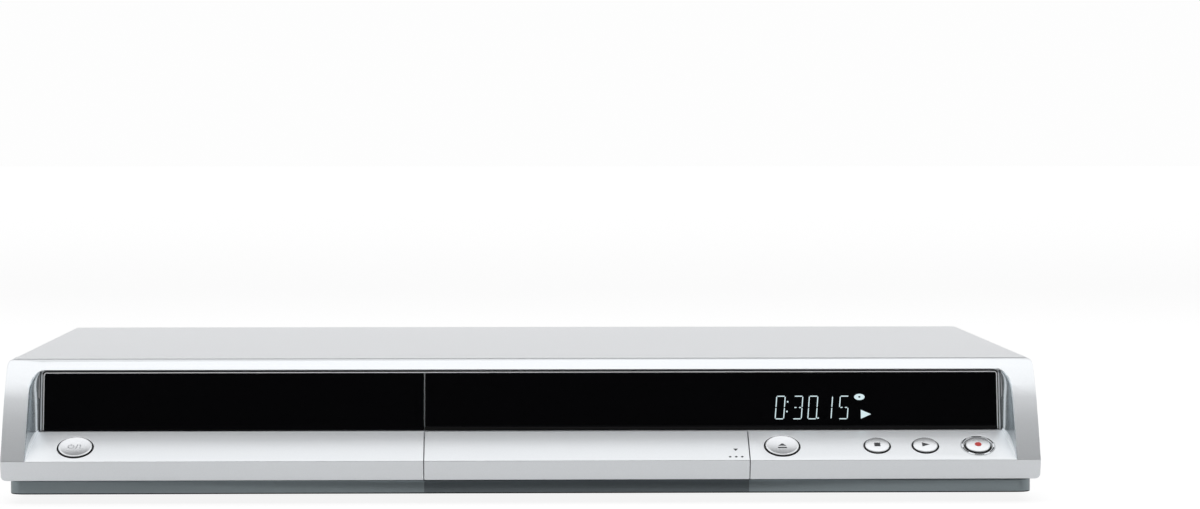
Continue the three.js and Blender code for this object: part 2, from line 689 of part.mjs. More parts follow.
// Buttons of the shelf: a cap, a retaining flange under the plate and a stem over the switch
function keyCap(radius, proud, domed) {
  const flangeTop = -fascia.wall - clearance;
  const flangeBottom = flangeTop - button.flange;
  const stemBottom = -keyBoard.below + keyBoard.keyHeight + button.travel + clearance;
  const crown = domed ? button.dome : clearance;
  return turned([[0, stemBottom], [button.stem, stemBottom], [button.stem, flangeBottom],
    [radius + button.rim, flangeBottom],
    [radius + button.rim, flangeTop], [radius, flangeTop], [radius, proud - crown], [
      radius - crown, proud - crown / 3,
    ],
    [radius / 2, proud], [0, proud]], button.sides);
}

function keyBoardSolid(left, right, keys) {
  const top = -keyBoard.below;
  const plate = box(left, right, keyBoard.low, keyBoard.high, top - keyBoard.thickness, top);
  const half = keyBoard.keySize / 2;
  const switches = keys.map((x) => box(x - half, x + half, button.along - half, button.along + half,
    top - keyBoard.thickness / 2, top + keyBoard.keyHeight));
  return joined(plate, ...switches);
}

function buttons() {
  const seat = [0, button.along, 0];
  place(
    'power_button', keyCap(button.largeRadius, button.largeProud, false), buttonCap, shelfGroup,
    [buttonX.power, ...seat.slice(1)],
  );
  place('open_close_button', keyCap(button.largeRadius, button.largeProud, false), buttonCap, shelfGroup,
    [buttonX.open_close, ...seat.slice(1)]);
  for (const name of ['stop', 'play', 'rec']) {
    place(`${name}_button`, keyCap(button.smallRadius, button.smallProud, true), buttonCap, shelfGroup,
      [buttonX[name], ...seat.slice(1)]);
  }
  const reach = button.largeHole + keyBoard.margin / 2;
  place(
    'left_key_board', keyBoardSolid(buttonX.power - reach, buttonX.power + reach, [buttonX.power]),
    greenBoard, shelfGroup,
  );
  const rightKeys = [buttonX.open_close, buttonX.stop, buttonX.play, buttonX.rec];
  place('right_key_board',
    keyBoardSolid(buttonX.open_close - button.largeHole, buttonX.rec + button.smallHole, rightKeys),
    greenBoard, shelfGroup);
}

// The centre flap: shelf plate and lip plate in one, a barrel along its lower edge and a pin at each end
function jackFlap() {
  const x0 = flapLeft + seam / 2;
  const x1 = flapRight - seam / 2;
  const slope = shelf.rise / shelf.depth;
  const under = flap.thickness / Math.cos(shelfAngle);
  const backDepth = shelf.depth - clearance;
  const backZ = lip.topZ + slope * backDepth;
  const lean = lip.lean / (lip.topZ - lip.bottomZ);
  const inward = flap.thickness * Math.hypot(1, lean);
  const cornerZ = (lip.topZ - under + slope * (lean * lip.topZ + inward)) / (1 + slope * lean);
  const cornerDepth = lean * (lip.topZ - cornerZ) + inward;
  const section = [
    [0, lip.topZ], [lip.lean, lip.bottomZ], [lip.lean + inward, lip.bottomZ], [cornerDepth, cornerZ],
    [backDepth, backZ - under], [backDepth, backZ],
  ];
  const barrel = circle(flap.barrel, facets.hub, frontY + flap.axisDepth, flap.axisZ);
  const pins = circle(flap.pin, facets.post, frontY + flap.axisDepth, flap.axisZ);
  return joined(alongX(atDepth(section), x0, x1), alongX(barrel, x0, x1),
    alongX(pins, flapLeft - flap.pinLength, flapRight + flap.pinLength));
}

const bayBackFront = frontY + jackBay.backDepth;
const bayBackRear = bayBackFront + jackBay.backWall;

function jackBayShell() {
  const { wall, topZ: high } = jackBay;
  const [left, right] = [bayLeft, bayRight];
  const low = lip.bottomZ + fascia.wall + jackBay.lift;
  const y0 = frontY + jackBay.front;
  const slope = shelf.rise / shelf.depth;
  const under = flap.thickness / Math.cos(shelfAngle) + clearance * 2;
  const frontTop = lip.topZ + slope * jackBay.front - under;
  const sideOutline = [[jackBay.front, low], [jackBay.backDepth + jackBay.backWall, low],
    [jackBay.backDepth + jackBay.backWall, high], [jackBay.backDepth, high], [jackBay.front, frontTop]];
  const floor = box(left, right, y0, bayBackRear, low, low + wall);
  const back = box(left, right, bayBackFront, bayBackRear, low, high);
  const sides = [
    alongX(atDepth(sideOutline), left, left + wall), alongX(atDepth(sideOutline), right - wall, right),
  ];
  const holes = Object.values(frontJackX).map((x) => {
    return alongY(
      circle(frontJacks.ringRadius + clearance, facets.barrel, x, frontJacks.z), bayBackFront - overrun,
      bayBackRear + overrun,
    );
  });
  return cut(joined(floor, back, ...sides), ...holes);
}

// A round socket that faces -Y: a ring with a bore, and a square body behind the panel
function socket(radius, bore, boreDepth, y0, y1, bodyFront, x, z) {
  const ring = alongY(circle(radius, facets.barrel, x, z), y0, bodyFront + overrun);
  const half = radius + clearance;
  const back = box(x - half, x + half, bodyFront, y1, z - half, z + half);
  return cut(joined(ring, back), alongY(circle(bore, facets.pin, x, z), y0 - overrun, y0 + boreDepth));
}

function frontJackGroup() {
  const y0 = frontY + frontJacks.depth;
  const boardY = frontY + frontJacks.boardDepth;
  const y1 = boardY - clearance;
  const bodyFront = bayBackRear + clearance;
  const colours = [yellowPlastic, whitePlastic, redPlastic];
  Object.entries(frontJackX).forEach(([name, x], i) => {
    const { ringRadius, boreRadius, boreDepth, z } = frontJacks;
    place(name, socket(ringRadius, boreRadius, boreDepth, y0, y1, bodyFront, x, z), colours[i]);
  });
  const low = lip.bottomZ + fascia.wall + clearance;
  const plate = box(bayLeft, bayRight, boardY, boardY + frontJacks.boardThickness, low, jackBay.topZ);
  place('front_jack_board', plate, greenBoard);
}

function flapAndJacks() {
  place('jack_flap', jackFlap(), silverPlastic);
  place('jack_bay', jackBayShell(), darkPlastic);
  frontJackGroup();
}

// Bottom chassis: a pan with turned-up edges, posts for the boards and air slots
function bottomChassis() {
  const half = coverHalf - sheet - clearance;
  const front = frontY + band.rear + clearance;
  const tongueFront = frontY + band.inset + band.wall + clearance;
  const y1 = rearY - rear.inset - sheet - clearance;
  const top = floorZ + pan.flange;
  const tongue = bandHalf - band.wall - pan.sideGap;
  const corner = band.radius;
  const plan = [[-half, front], [-tongue, front], [-tongue, tongueFront + corner],
    [-tongue + corner, tongueFront],
    [tongue - corner, tongueFront], [tongue, tongueFront + corner], [tongue, front], [half, front],
    [half, y1], [-half, y1]];
  const low = band.topZ - clearance;
  const rim = half - sheet;
  const upturn = [
    [-half, front], [-rim, front], [-rim, y1 - sheet], [rim, y1 - sheet], [rim, front], [half, front],
    [half, y1], [-half, y1],
  ];
  const walls = [
    alongZ(upturn, floorZ, top),
    box(-tongue + corner, tongue - corner, tongueFront, tongueFront + sheet, floorZ, low),
  ];
  const posts = [...boardPlaces(mainBoard), ...boardPlaces(powerBoard),
    ...boardPlaces(avBoard)].map(([x, y]) => {
    return disc(pan.postRadius, floorZ + sheet / 2, pan.boardZ - board.gap, facets.stud, x, y);
  });
  const legs = [-1, 1].flatMap((side) => [drive.front, drive.rear].map((y) => {
    const x = driveX + side * (drive.half - pan.postRadius);
    const inward = y < 0 ? pan.postRadius : -pan.postRadius;
    return disc(
      pan.postRadius, floorZ + sheet / 2, drive.bottomZ - board.gap, facets.stud, x, discY + y + inward,
    );
  }));
  const slots = Array.from({ length: pan.slotCount }, (_, i) => {
    const x = (powerBoard.left + powerBoard.right) / 2 + (i - (pan.slotCount - 1) / 2) * pan.slotPitch;
    return box(x - pan.slotWidth / 2, x + pan.slotWidth / 2, transformerY - pan.slotLength / 2,
      transformerY + pan.slotLength / 2,
      floorZ - overrun, floorZ + pan.flange / 3);
  });
  const holes = [-1, 1].flatMap((side) => screwPlaces.map((y) => {
    return alongX(
      circle(screwShank + clearance, facets.post, y, sideScrew.z), side * half - sheet * 2,
      side * half + sheet * 2,
    );
  }));
  const ears = [-1, 1].flatMap((side) => screwPlaces.map((y) => {
    const earHalf = sideScrew.headRadius + sheet;
    const x0 = side < 0 ? -half : half - sheet;
    return box(x0, x0 + sheet, y - earHalf, y + earHalf, top - sheet, sideScrew.z + earHalf);
  }));
  return cut(
    joined(cut(alongZ(plan, floorZ, floorZ + sheet), ...slots), ...walls, ...posts, ...legs, ...ears),
    ...holes,
  );
}

function boardPlaces({ left, right, front, rear: back }) {
  const margin = pan.postRadius * 2;
  return [
    [left + margin, front + margin], [right - margin, front + margin], [left + margin, back - margin],
    [right - margin, back - margin],
  ];
}

function footShape() {
  const high = floorZ - foot.shoulder;
  return turned([[0, 0], [foot.radius - foot.shoulder, 0], [foot.radius, foot.shoulder],
    [foot.radius, high],
    [foot.topRadius, floorZ], [0, floorZ]], foot.sides);
}

function underside() {
  place('bottom_chassis', bottomChassis(), zincSteel);
  const frontFootY = frontY + foot.frontInset;
  const rearFootY = rearY - foot.rearInset;
  const footX = halfWidth - foot.sideInset;
  const corners = {
    front_left: [
      -1, frontFootY,
    ], front_right: [1, frontFootY], rear_left: [-1, rearFootY], rear_right: [1, rearFootY],
  };
  for (const [corner, [side, y]] of Object.entries(corners)) {
    place(`${corner}_foot`, footShape(), rubber, recorder, [side * footX, y, 0]);
  }
}

// Rear panel and what shows through it
function rearPanel() {
  const half = coverHalf - sheet - rear.sideGap;
  const reach = [panelFront - overrun, panelRear + overrun];
  const plate = box(-half, half, panelFront, panelRear, rear.bottomZ, rearTopZ);
  const round = (x, z, radius, sides = facets.hub) => alongY(circle(radius, sides, x, z), ...reach);
  const jackHoles = [...avSockets, ...videoSockets].map(
    ({ x, z, ring }) => round(x, z, ring + rear.holeGap, jack.sides),
  );
  const antennas = connectorZs.map((z) => round(connectorX, z, tuner.radius + rear.holeGap));
  const half2 = optical.size / 2 + rear.holeGap;
  const light = box(opticalX - half2, opticalX + half2, ...reach, optical.z - half2, optical.z + half2);
  const w = inlet.width / 2 - inlet.flange;
  const h = inlet.height / 2 - inlet.flange;
  const mains = box(
    inletX - w - rear.holeGap, inletX + w + rear.holeGap, ...reach, inlet.z - h - rear.holeGap,
    inlet.z + h + rear.holeGap,
  );
  const bars = [0, Math.PI / 2].map((angle) => {
    const bar = box(
      -fan.bore - overrun, fan.bore + overrun, panelFront, panelRear, -fan.bar / 2, fan.bar / 2,
    );
    return bar.rotateY(angle).translate(fanX, 0, fan.z);
  });
  const hub = alongY(circle(fan.hub, facets.hub, fanX, fan.z), panelFront, panelRear);
  const grille = cut(round(fanX, fan.z, fan.bore, fan.sides), ...bars, hub);
  return cut(plate, ...jackHoles, ...antennas, light, mains, grille);
}

// A moulded block of sockets on the AV board, their rings reaching out through the rear panel
const rowZs = Array.from({ length: jack.rows }, (_, i) => jack.bottomZ + i * jack.rowPitch);
const columnXs = Array.from(
  { length: avJacks.columns }, (_, i) => avJacks.inset - halfWidth + i * avJacks.columnPitch,
);
const avSockets = columnXs.flatMap((x) => rowZs.map((z) => ({ x, z, ring: jack.ring, bore: jack.bore })));
const videoSockets = [
  ...rowZs.map((z) => ({ x: videoJacks.componentInset - halfWidth, z, ring: jack.ring, bore: jack.bore })),
  ...[0, 1].map((row) => ({
    x: videoJacks.squareInset - halfWidth, z: videoJacks.squareBottomZ + row * videoJacks.squarePitch,
    ring: videoJacks.ring, bore: videoJacks.bore,
  })),
];

function socketBlock(sockets) {
  const bodyRear = panelFront - clearance;
  const xs = sockets.map(({ x }) => x);
  const high = Math.max(...sockets.map(({ z }) => z)) + jack.margin;
  const frame = box(Math.min(...xs) - jack.margin, Math.max(...xs) + jack.margin,
    bodyRear - jack.bodyDepth, bodyRear,
    boardTopZ + board.gap, high);
  const rings = sockets.map(
    ({ x, z, ring }) => alongY(circle(ring, jack.sides, x, z), bodyRear - overrun, reachY),
  );
  const bores = sockets.map(({ x, z, bore }) => {
    return alongY(circle(bore, jack.sides / 2, x, z), reachY - jack.boreDepth, reachY + overrun);
  });
  return cut(joined(frame, ...rings), ...bores);
}

function opticalOutput() {
  const bodyRear = panelFront - clearance;
  const half = optical.size / 2;
  const stand = box(
    opticalX - half, opticalX + half, bodyRear - jack.bodyDepth, bodyRear, pan.boardZ, optical.z + half,
  );
  const face = box(
    opticalX - half, opticalX + half, bodyRear - overrun, panelRear + optical.reach, optical.z - half,
    optical.z + half,
  );
  const hole = optical.hole / 2;
  const mouth = box(
    opticalX - hole, opticalX + hole, panelFront, reachY, optical.z - hole, optical.z + hole,
  );
  return cut(joined(stand, face), mouth);
}

function tunerBox() {
  const bodyRear = panelFront - clearance;
  const can = box(tunerLeft, tunerRight, tunerFront, bodyRear, boardTopZ + board.gap, tunerTopZ);
  const posts = connectorZs.map(
    (z) => alongY(circle(tuner.radius, facets.pin, connectorX, z), bodyRear - overrun, reachY),
  );
  const bores = connectorZs.map(
    (z) => alongY(
      circle(tuner.bore, facets.stud, connectorX, z), reachY - jack.boreDepth, reachY + overrun,
    ),
  );
  return cut(joined(can, ...posts), ...bores);
}

// The mains inlet: a flanged body with a socket and two pins
function mainsInlet() {
  const { z, width, height, flange, depth } = inlet;
  const x = inletX;
  const w = width / 2;
  const h = height / 2;
  const face = box(x - w, x + w, panelRear + clearance, panelRear + clearance + flange, z - h, z + h);
  const trunk = box(
    x - w + flange, x + w - flange, panelFront - depth + flange, panelRear + clearance + flange / 2,
    z - h + flange, z + h - flange,
  );
  const mouthRear = panelRear + clearance + flange;
  const view = roundedRectangle(x - inlet.socketWidth / 2, x + inlet.socketWidth / 2,
    z - inlet.socketHeight / 2, z + inlet.socketHeight / 2,
    Array(4).fill(inlet.socketHeight / 3));
  const hollow = alongY(view, mouthRear - inlet.socketDepth, mouthRear + overrun);
  const pins = [-1, 1].map((side) => {
    return alongY(
      circle(inlet.pin, facets.stud, x + (side * inlet.pinSpacing) / 2, z),
      mouthRear - inlet.socketDepth - overrun, mouthRear - flange,
    );
  });
  return joined(cut(joined(face, trunk), hollow), ...pins);
}

function fanFrame() {
  const half = fan.size / 2;
  const y1 = panelFront - clearance;
  const y0 = y1 - fan.depth;
  const view = roundedRectangle(
    fanX - half, fanX + half, fan.z - half, fan.z + half, Array(4).fill(clearance * 10), 3,
  );
  const ring = cut(
    alongY(view, y0, y1), alongY(circle(fan.bore, fan.sides, fanX, fan.z), y0 - overrun, y1 + overrun),
  );
  const arms = [0, Math.PI / 2].map((angle) => {
    return box(
      -fan.bore - overrun, fan.bore + overrun, y0, y0 + fan.bar / 2, -fan.bar / 2, fan.bar / 2,
    ).rotateY(angle).translate(fanX, 0, fan.z);
  });
  const post = alongY(circle(button.stem, facets.pin, fanX, fan.z), y0, y1 - fan.bar);
  return joined(
    ring, ...arms, alongY(circle(fan.hub, facets.hub, fanX, fan.z), y0, y0 + fan.bar / 2), post,
  );
}

function fanRotor() {
  const y1 = -fan.bar / 2;
  const y0 = -fan.depth + fan.bar;
  const cup = alongY(circle(fan.hub, facets.barrel), y0, y1);
  const bore = alongY(circle(button.stem + clearance, facets.pin), y0 - overrun, y1 - fan.bar / 4);
  const blades = Array.from({ length: fan.blades }, (_, i) => {
    const blade = box(
      fan.hub - overrun, fan.bladeTip, -fan.bladeThickness / 2, fan.bladeThickness / 2, -fan.depth / 4,
      fan.depth / 4,
    );
    return blade.rotateX(Math.PI / 4).translate(0, (y0 + y1) / 2, 0).rotateY(
      (2 * Math.PI * i) / fan.blades,
    );
  });
  return cut(joined(cup, ...blades), bore);
}

function rearPieces() {
  place('rear_panel', rearPanel(), zincSteel);
  place('rear_av_jacks', socketBlock(avSockets), darkPlastic);
  place('rear_video_jacks', socketBlock(videoSockets), darkPlastic);
  place('tuner_box', tunerBox(), zincSteel);
  place('ac_inlet', mainsInlet(), darkPlastic);
  place('fan_frame', fanFrame(), darkPlastic);
  place('fan_rotor', fanRotor(), darkPlastic, recorder, [fanX, panelFront - clearance, fan.z]);
}

// Circuit boards and the large parts on them
function circuitBoard({ left, right, front, rear: back }, chips = []) {
  const plate = box(left, right, front, back, pan.boardZ, boardTopZ);
  const blocks = chips.map(
    ([x, y, w, d, h]) => box(
      x - w / 2, x + w / 2, y - d / 2, y + d / 2, boardTopZ - board.thickness / 2, boardTopZ + h,
    ),
  );
  return joined(plate, ...blocks);
}

function transformerShape() {
  const { width, depth, height, coreInset, corner } = transformer;
  const core = alongX(
    roundedRectangle(-depth / 2, depth / 2, coreInset, height - coreInset, Array(4).fill(corner), 1),
    -width / 2, width / 2,
  );
  const winding = alongZ(roundedRectangle(-width / 2 + coreInset, width / 2 - coreInset,
    -depth / 2 - coreInset, depth / 2 + coreInset,
    Array(4).fill(corner * 2), 3), 0, height);
  return joined(core, winding);
}

function capacitorShape() {
  const { radius, height, bevel } = capacitor;
  return turned(
    [[0, 0], [radius, 0], [radius, height - bevel], [radius - bevel, height], [0, height]], facets.hub,
  );
}

function heatSinkShape() {
  const { width, base, height, fins, fin, finReach } = heatSink;
  const back = box(-width / 2, width / 2, 0, base, 0, height);
  const blades = Array.from({ length: fins }, (_, i) => {
    const x = -width / 2 + ((width - fin) * i) / (fins - 1);
    return box(x, x + fin, base - fin / 2, base + finReach, 0, height);
  });
  return joined(back, ...blades);
}

const chipShare = { sizeShare: 0.22, heightShare: 0.02 };

function boardChips({ left, right, front, rear: back }, spotShares) {
  const width = right - left;
  const depth = back - front;
  const side = Math.min(width, depth) * chipShare.sizeShare;
  return spotShares.map(
    ([u, v, scale]) => [
      left + u * width, front + v * depth, side * scale, side * scale, width * chipShare.heightShare,
    ],
  );
}

function electronics() {
  const mainSpotShares = [
    [0.35, 0.3, 1.2], [0.7, 0.28, 0.7], [0.35, 0.66, 0.9], [0.72, 0.6, 0.8], [0.15, 0.86, 0.5],
  ];
  place('main_board', circuitBoard(mainBoard, boardChips(mainBoard, mainSpotShares)), greenBoard);
  place('av_board', joined(circuitBoard(avBoard), opticalOutput()), greenBoard);
  const capacitors = capacitor.insets.map((inset, i) => {
    const y = powerBoard.front + capacitor.depthShares[i] * powerDepth;
    return capacitorShape().translate(powerBoard.right - inset, y, boardTopZ - board.gap);
  });
  place('power_board', joined(circuitBoard(powerBoard), ...capacitors), greenBoard);
  const seat = boardTopZ + board.gap;
  place(
    'transformer', transformerShape(), copperTape, recorder,
    [powerBoard.left + transformer.along, transformerY, seat],
  );
  place(
    'heat_sink', heatSinkShape(), aluminium, recorder,
    [powerBoard.left + heatSink.along, powerBoard.front + heatSink.depthShare * powerDepth, seat],
  );
  const y0 = frontY + display.frontDepth;
  const frame = box(displayLeft, displayRight, y0, y0 + display.thickness, display.bottomZ, displayTopZ);
  const glass = box(displayLeft + display.frame, displayRight - display.frame, y0 - overrun,
    y0 + display.glassInset,
    display.bottomZ + display.frame, displayTopZ - display.frame);
  place('display_module', cut(frame, glass), blackGloss);
  const boardY = frontY + frontBoard.depth;
  place(
    'front_board',
    box(
      frontBoardLeft, frontBoardRight, boardY, boardY + frontBoard.thickness, frontBoard.bottomZ,
      frontBoardTopZ,
    ),
    greenBoard,
  );
}

// The disc drive
const driveGroup = new THREE.Group();
driveGroup.position.set(driveX, discY, 0);
recorder.add(driveGroup);

const traverseHinge = new THREE.Group();
traverseHinge.position.set(0, traverse.hingeY, traverse.hingeZ);
traverseHinge.rotation.x = THREE.MathUtils.degToRad(traverse.tilt);
driveGroup.add(traverseHinge);
const traverseGroup = new THREE.Group();
traverseGroup.position.set(0, -traverse.hingeY, -traverse.hingeZ);
traverseHinge.add(traverseGroup);

const rootDepth = gear.module * gear.dedendumShare;
const tipHeight = gear.module * gear.addendumShare;
const toothPitch = Math.PI * gear.module;
const pinionRadius = (gear.pinionTeeth * gear.module) / 2;
const wheelRadius = (gear.wheelTeeth * gear.module) / 2;
const smallRadius = (gear.smallTeeth * gear.module) / 2;
const rackFirstY = gear.axisY - toothPitch * 3 / 2;
const rackTeeth = Math.floor((trayRear - rackFirstY) / toothPitch + 1 / 2);
const pulleyX = gear.axisX - wheelRadius - smallRadius;
const rackX = gear.axisX + pinionRadius;

// A toothed wheel outline with a tooth centred at each multiple of the tooth angle from the phase
function gearOutline(teeth, phase) {
  const radius = (teeth * gear.module) / 2;
  const step = (2 * Math.PI) / teeth;
  return Array.from({ length: teeth }, (_, i) => {
    const middle = phase + i * step;
    return [
      [-gear.rootShare, -rootDepth], [-gear.tipShare, tipHeight], [gear.tipShare, tipHeight],
      [gear.rootShare, -rootDepth],
    ]
      .map(([turn, height]) => {
        const angle = middle + turn * step;
        return [(radius + height) * Math.cos(angle), (radius + height) * Math.sin(angle)];
      });
  }).flat();
}

function rackOutline() {
  const tip = rackX - tipHeight;
  const root = rackX + rootDepth;
  const firstY = rackFirstY;
  const teeth = Array.from({ length: rackTeeth }, (_, i) => {
    const y = firstY + i * toothPitch;
    return [[root, y - gear.rootShare * toothPitch], [tip, y - gear.tipShare * toothPitch],
      [tip, y + gear.tipShare * toothPitch], [root, y + gear.rootShare * toothPitch]];
  }).flat();
  const lastY = firstY + (rackTeeth - 1 / 2) * toothPitch;
  return [[root + gear.rackRib, firstY - toothPitch / 2], [root + gear.rackRib, lastY], [root, lastY],
    ...teeth.toReversed(), [root, firstY - toothPitch / 2]].toReversed();
}

function driveChassis() {
  const { half, wall, front, rear: back, bottomZ, baseTopZ, wallTopZ } = drive;
  const open = traverse.half + clearance * 3;
  const opening = box(
    -open, open, traverse.front - wall, traverse.rear + wall / 2, bottomZ - overrun, baseTopZ + overrun,
  );
  const base = cut(box(-half, half, front, back, bottomZ, baseTopZ), opening);
  const walls = [
    box(
      -half, -half + wall, front, back, bottomZ, wallTopZ,
    ), box(half - wall, half, front, back, bottomZ, wallTopZ),
    box(-half, half, back - wall, back, bottomZ, wallTopZ), box(
      -half, half, front, front + wall, bottomZ, baseTopZ + wall,
    ),
  ];
  const inner = half - wall;
  const rails = [-1, 1].flatMap((side) => {
    const [x0, x1] = side < 0 ? [
      -inner - wall / 2, -inner + rail.width,
    ] : [inner - rail.width, inner + wall / 2];
    return [
      box(
        x0, x1, front, back, tray.flangeBottomZ - clearance - rail.thickness,
        tray.flangeBottomZ - clearance,
      ),
      box(x0, x1, front, back, tray.flangeTopZ + clearance, tray.flangeTopZ + clearance + rail.thickness),
    ];
  });
  const posts = [
    disc(gear.bore * 2, bottomZ, gear.wheelBottomZ - clearance, facets.hub, gear.axisX, gear.axisY),
    disc(gear.post, bottomZ, gear.pinionTopZ - clearance, facets.pin, gear.axisX, gear.axisY),
    disc(gear.bore * 2, bottomZ, belt.z - belt.flangeHeight - clearance, facets.hub, pulleyX, gear.axisY),
    disc(
      gear.post, bottomZ, gear.wheelBottomZ + gear.wheelHeight - clearance, facets.pin, pulleyX,
      gear.axisY,
    ),
  ];
  const ears = [-1, 1].map((side) => {
    const [x0, x1] = side < 0 ? [-open - traverse.pinReach, -open] : [open, open + traverse.pinReach];
    return box(
      x0, x1, traverse.hingeY - traverse.pin * 2, traverse.hingeY + traverse.pin * 2, bottomZ,
      traverse.hingeZ + traverse.pin * 2,
    );
  });
  const pinHole = alongX(circle(traverse.pin + clearance, facets.hub, traverse.hingeY, traverse.hingeZ),
    -open - traverse.pinReach - overrun, open + traverse.pinReach + overrun);
  return cut(joined(base, ...walls, ...rails, ...posts, ...ears), pinHole);
}

// The disc tray, with a slot that lets the turntable and the pickup pass behind the disc's centre
function trayFrontY(z) {
  return frontY + panelDepth(z) + panel.thickness + clearance - discY;
}

function slopedBlock(x0, x1, z0, z1, back) {
  return alongX([[trayFrontY(z0), z0], [back, z0], [back, z1], [trayFrontY(z1), z1]], x0, x1);
}

function discTray() {
  const { half, flangeHalf, flangeBottomZ, flangeTopZ, bottomZ, topZ: high, skirt } = tray;
  const back = trayRear;
  const low = flangeBottomZ;
  const seat = bottomZ + skirt / 4;
  const plate = slopedBlock(-half, half, bottomZ, high, back);
  const skirts = [
    slopedBlock(-half, -half + skirt, low, seat, back),
    slopedBlock(half - skirt, half, low, seat, back),
  ];
  const nose = slopedBlock(-half, half, low, seat, trayFrontY(low) + skirt);
  const flanges = [box(-flangeHalf, -half + skirt / 2, drive.front, back, low, flangeTopZ),
    box(half - skirt / 2, flangeHalf, drive.front, back, low, flangeTopZ)];
  const rack = alongZ(rackOutline(), flangeBottomZ, seat);
  const dish = disc(tray.discRadius, high - tray.discDepth, high + overrun, tray.sides);
  const smallDish = disc(tray.smallRadius, high - tray.discDepth - tray.smallDepth, high, tray.sides);
  const hub = disc(tray.hubRadius, bottomZ - overrun, high, tray.sides / 2);
  const slot = box(-tray.slotHalf, tray.slotHalf, 0, back + overrun, bottomZ - overrun, high + overrun);
  return cut(joined(plate, ...skirts, nose, ...flanges, rack), dish, smallDish, hub, slot);
}

function rackGear() {
  const wheel = alongZ(
    gearOutline(gear.wheelTeeth, 0), gear.wheelBottomZ, gear.wheelBottomZ + gear.wheelHeight,
  );
  const pinion = alongZ(gearOutline(gear.pinionTeeth, 0), gear.pinionBottomZ, gear.pinionTopZ);
  const neck = disc(pinionRadius - rootDepth - overrun, gear.wheelBottomZ, gear.pinionTopZ, facets.barrel);
  const hole = disc(gear.bore, gear.wheelBottomZ - overrun, gear.pinionTopZ + overrun, facets.hub);
  return cut(joined(wheel, pinion, neck), hole);
}

function groovedPulley(radius, sides) {
  const { z, height, flange, flangeHeight } = belt;
  return turned([[0, z - flangeHeight], [radius + flange, z - flangeHeight], [radius + flange, z],
    [radius, z],
    [radius, z + height], [radius + flange, z + height], [radius + flange, z + height + flangeHeight],
    [0, z + height + flangeHeight]], sides);
}

function pulleyGear() {
  const top = gear.wheelBottomZ + gear.wheelHeight;
  const teeth = alongZ(gearOutline(gear.smallTeeth, Math.PI / gear.smallTeeth), belt.z + belt.height, top);
  const hole = disc(gear.bore, belt.z - overrun * 2, top + overrun, facets.hub);
  return cut(joined(groovedPulley(belt.pulley, facets.wheel), teeth), hole);
}

function motorPulley() {
  const bore = disc(
    loadMotor.shaft + clearance, belt.z - overrun * 2, belt.z + belt.height + overrun * 2, facets.pin,
  );
  return cut(groovedPulley(belt.motorPulley, facets.pin), bore);
}

// The belt's path round a large pulley at x and a small one further left, both at the same y
function beltLoop(largeRadius, smallLoopRadius) {
  const distance = pulleyX - belt.centreX;
  const angle = Math.acos((smallLoopRadius - largeRadius) / distance);
  const arc = (x, radius, from, to) => Array.from({ length: belt.steps + 1 }, (_, i) => {
    const turn = from + ((to - from) * i) / belt.steps;
    return [x + radius * Math.cos(turn), gear.axisY + radius * Math.sin(turn)];
  });
  return [
    ...arc(pulleyX, largeRadius, -angle, angle),
    ...arc(belt.centreX, smallLoopRadius, angle, 2 * Math.PI - angle),
  ];
}

function driveBelt() {
  const gap = clearance;
  const outer = beltLoop(belt.pulley + gap + belt.thickness, belt.motorPulley + gap + belt.thickness);
  const inner = beltLoop(belt.pulley + gap, belt.motorPulley + gap);
  const rim = gap / 2;
  return alongZ(outer, belt.z + rim, belt.z + belt.height - rim, [inner]);
}

function loadingMotor() {
  const low = drive.baseTopZ + clearance;
  return joined(
    disc(loadMotor.radius, low, loadMotor.bodyTopZ, facets.hub),
    disc(loadMotor.shaft, low, belt.z + belt.height, facets.pin),
  );
}

function traverseFrame() {
  const {
    half, front, rear: back, bottomZ, topZ: high, openLeft, openRight, openFront, openRear, rodX, rodZ,
    rod, block, blockTop,
  } = traverse;
  const plate = box(-half, half, front, back, bottomZ, high);
  const opening = box(openLeft, openRight, openFront, openRear, bottomZ - overrun, high + overrun);
  const low = (bottomZ + high) / 2;
  const ends = [
    box(-rodX - block, -rodX + block, openFront - block, openFront, low, blockTop),
    box(rodX - block, rodX + block, openFront - block, openFront, low, blockTop),
    box(-rodX - block, -rodX + block, openRear, openRear + block, low, blockTop),
    box(rodX - block, screw.x + block, openRear, openRear + block, low, blockTop),
  ];
  const sockets = [-rodX, rodX].map((x) => {
    return alongY(
      circle(rod + clearance, facets.pin, x, rodZ), openFront - block + overrun / 2,
      openRear + block - overrun / 2,
    );
  });
  const screwEnd = alongY(
    circle(screw.radius + clearance, facets.pin, screw.x, rodZ), openRear - overrun,
    openRear + block - overrun / 2,
  );
  const cradle = alongY(
    circle(sledMotor.radius + clearance, facets.wheel, screw.x, rodZ), sledMotor.front - clearance,
    sledMotor.rear + clearance,
  );
  const nose = alongY(
    circle(screw.radius + clearance, facets.pin, screw.x, rodZ), sledMotor.rear, openFront + overrun,
  );
  const pins = alongX(
    circle(traverse.pin, facets.hub, traverse.hingeY, traverse.hingeZ), -half - traverse.pinReach,
    half + traverse.pinReach,
  );
  return cut(joined(cut(plate, opening, cradle), ...ends, pins), ...sockets, screwEnd, nose);
}

function spindleMotor() {
  const low = traverse.topZ + clearance;
  return joined(
    disc(spindle.radius, low, low + spindle.height - clearance, facets.barrel),
    disc(spindle.shaft, low, spindle.shaftTop, facets.pin),
  );
}

function turntableShape() {
  const { radius, rimBottomZ, topZ: high, hub, nose, noseTop, noseTopZ, shaftHole, holeTopZ } = turntable;
  const low = traverse.topZ + spindle.height + clearance;
  const shape = turned([[0, low], [hub, low], [hub, rimBottomZ], [radius, rimBottomZ], [radius, high],
    [nose, high],
    [nose, (high + noseTopZ) / 2], [noseTop, noseTopZ], [0, noseTopZ]], facets.barrel);
  return cut(shape, disc(shaftHole, low - overrun, holeTopZ, facets.pin));
}

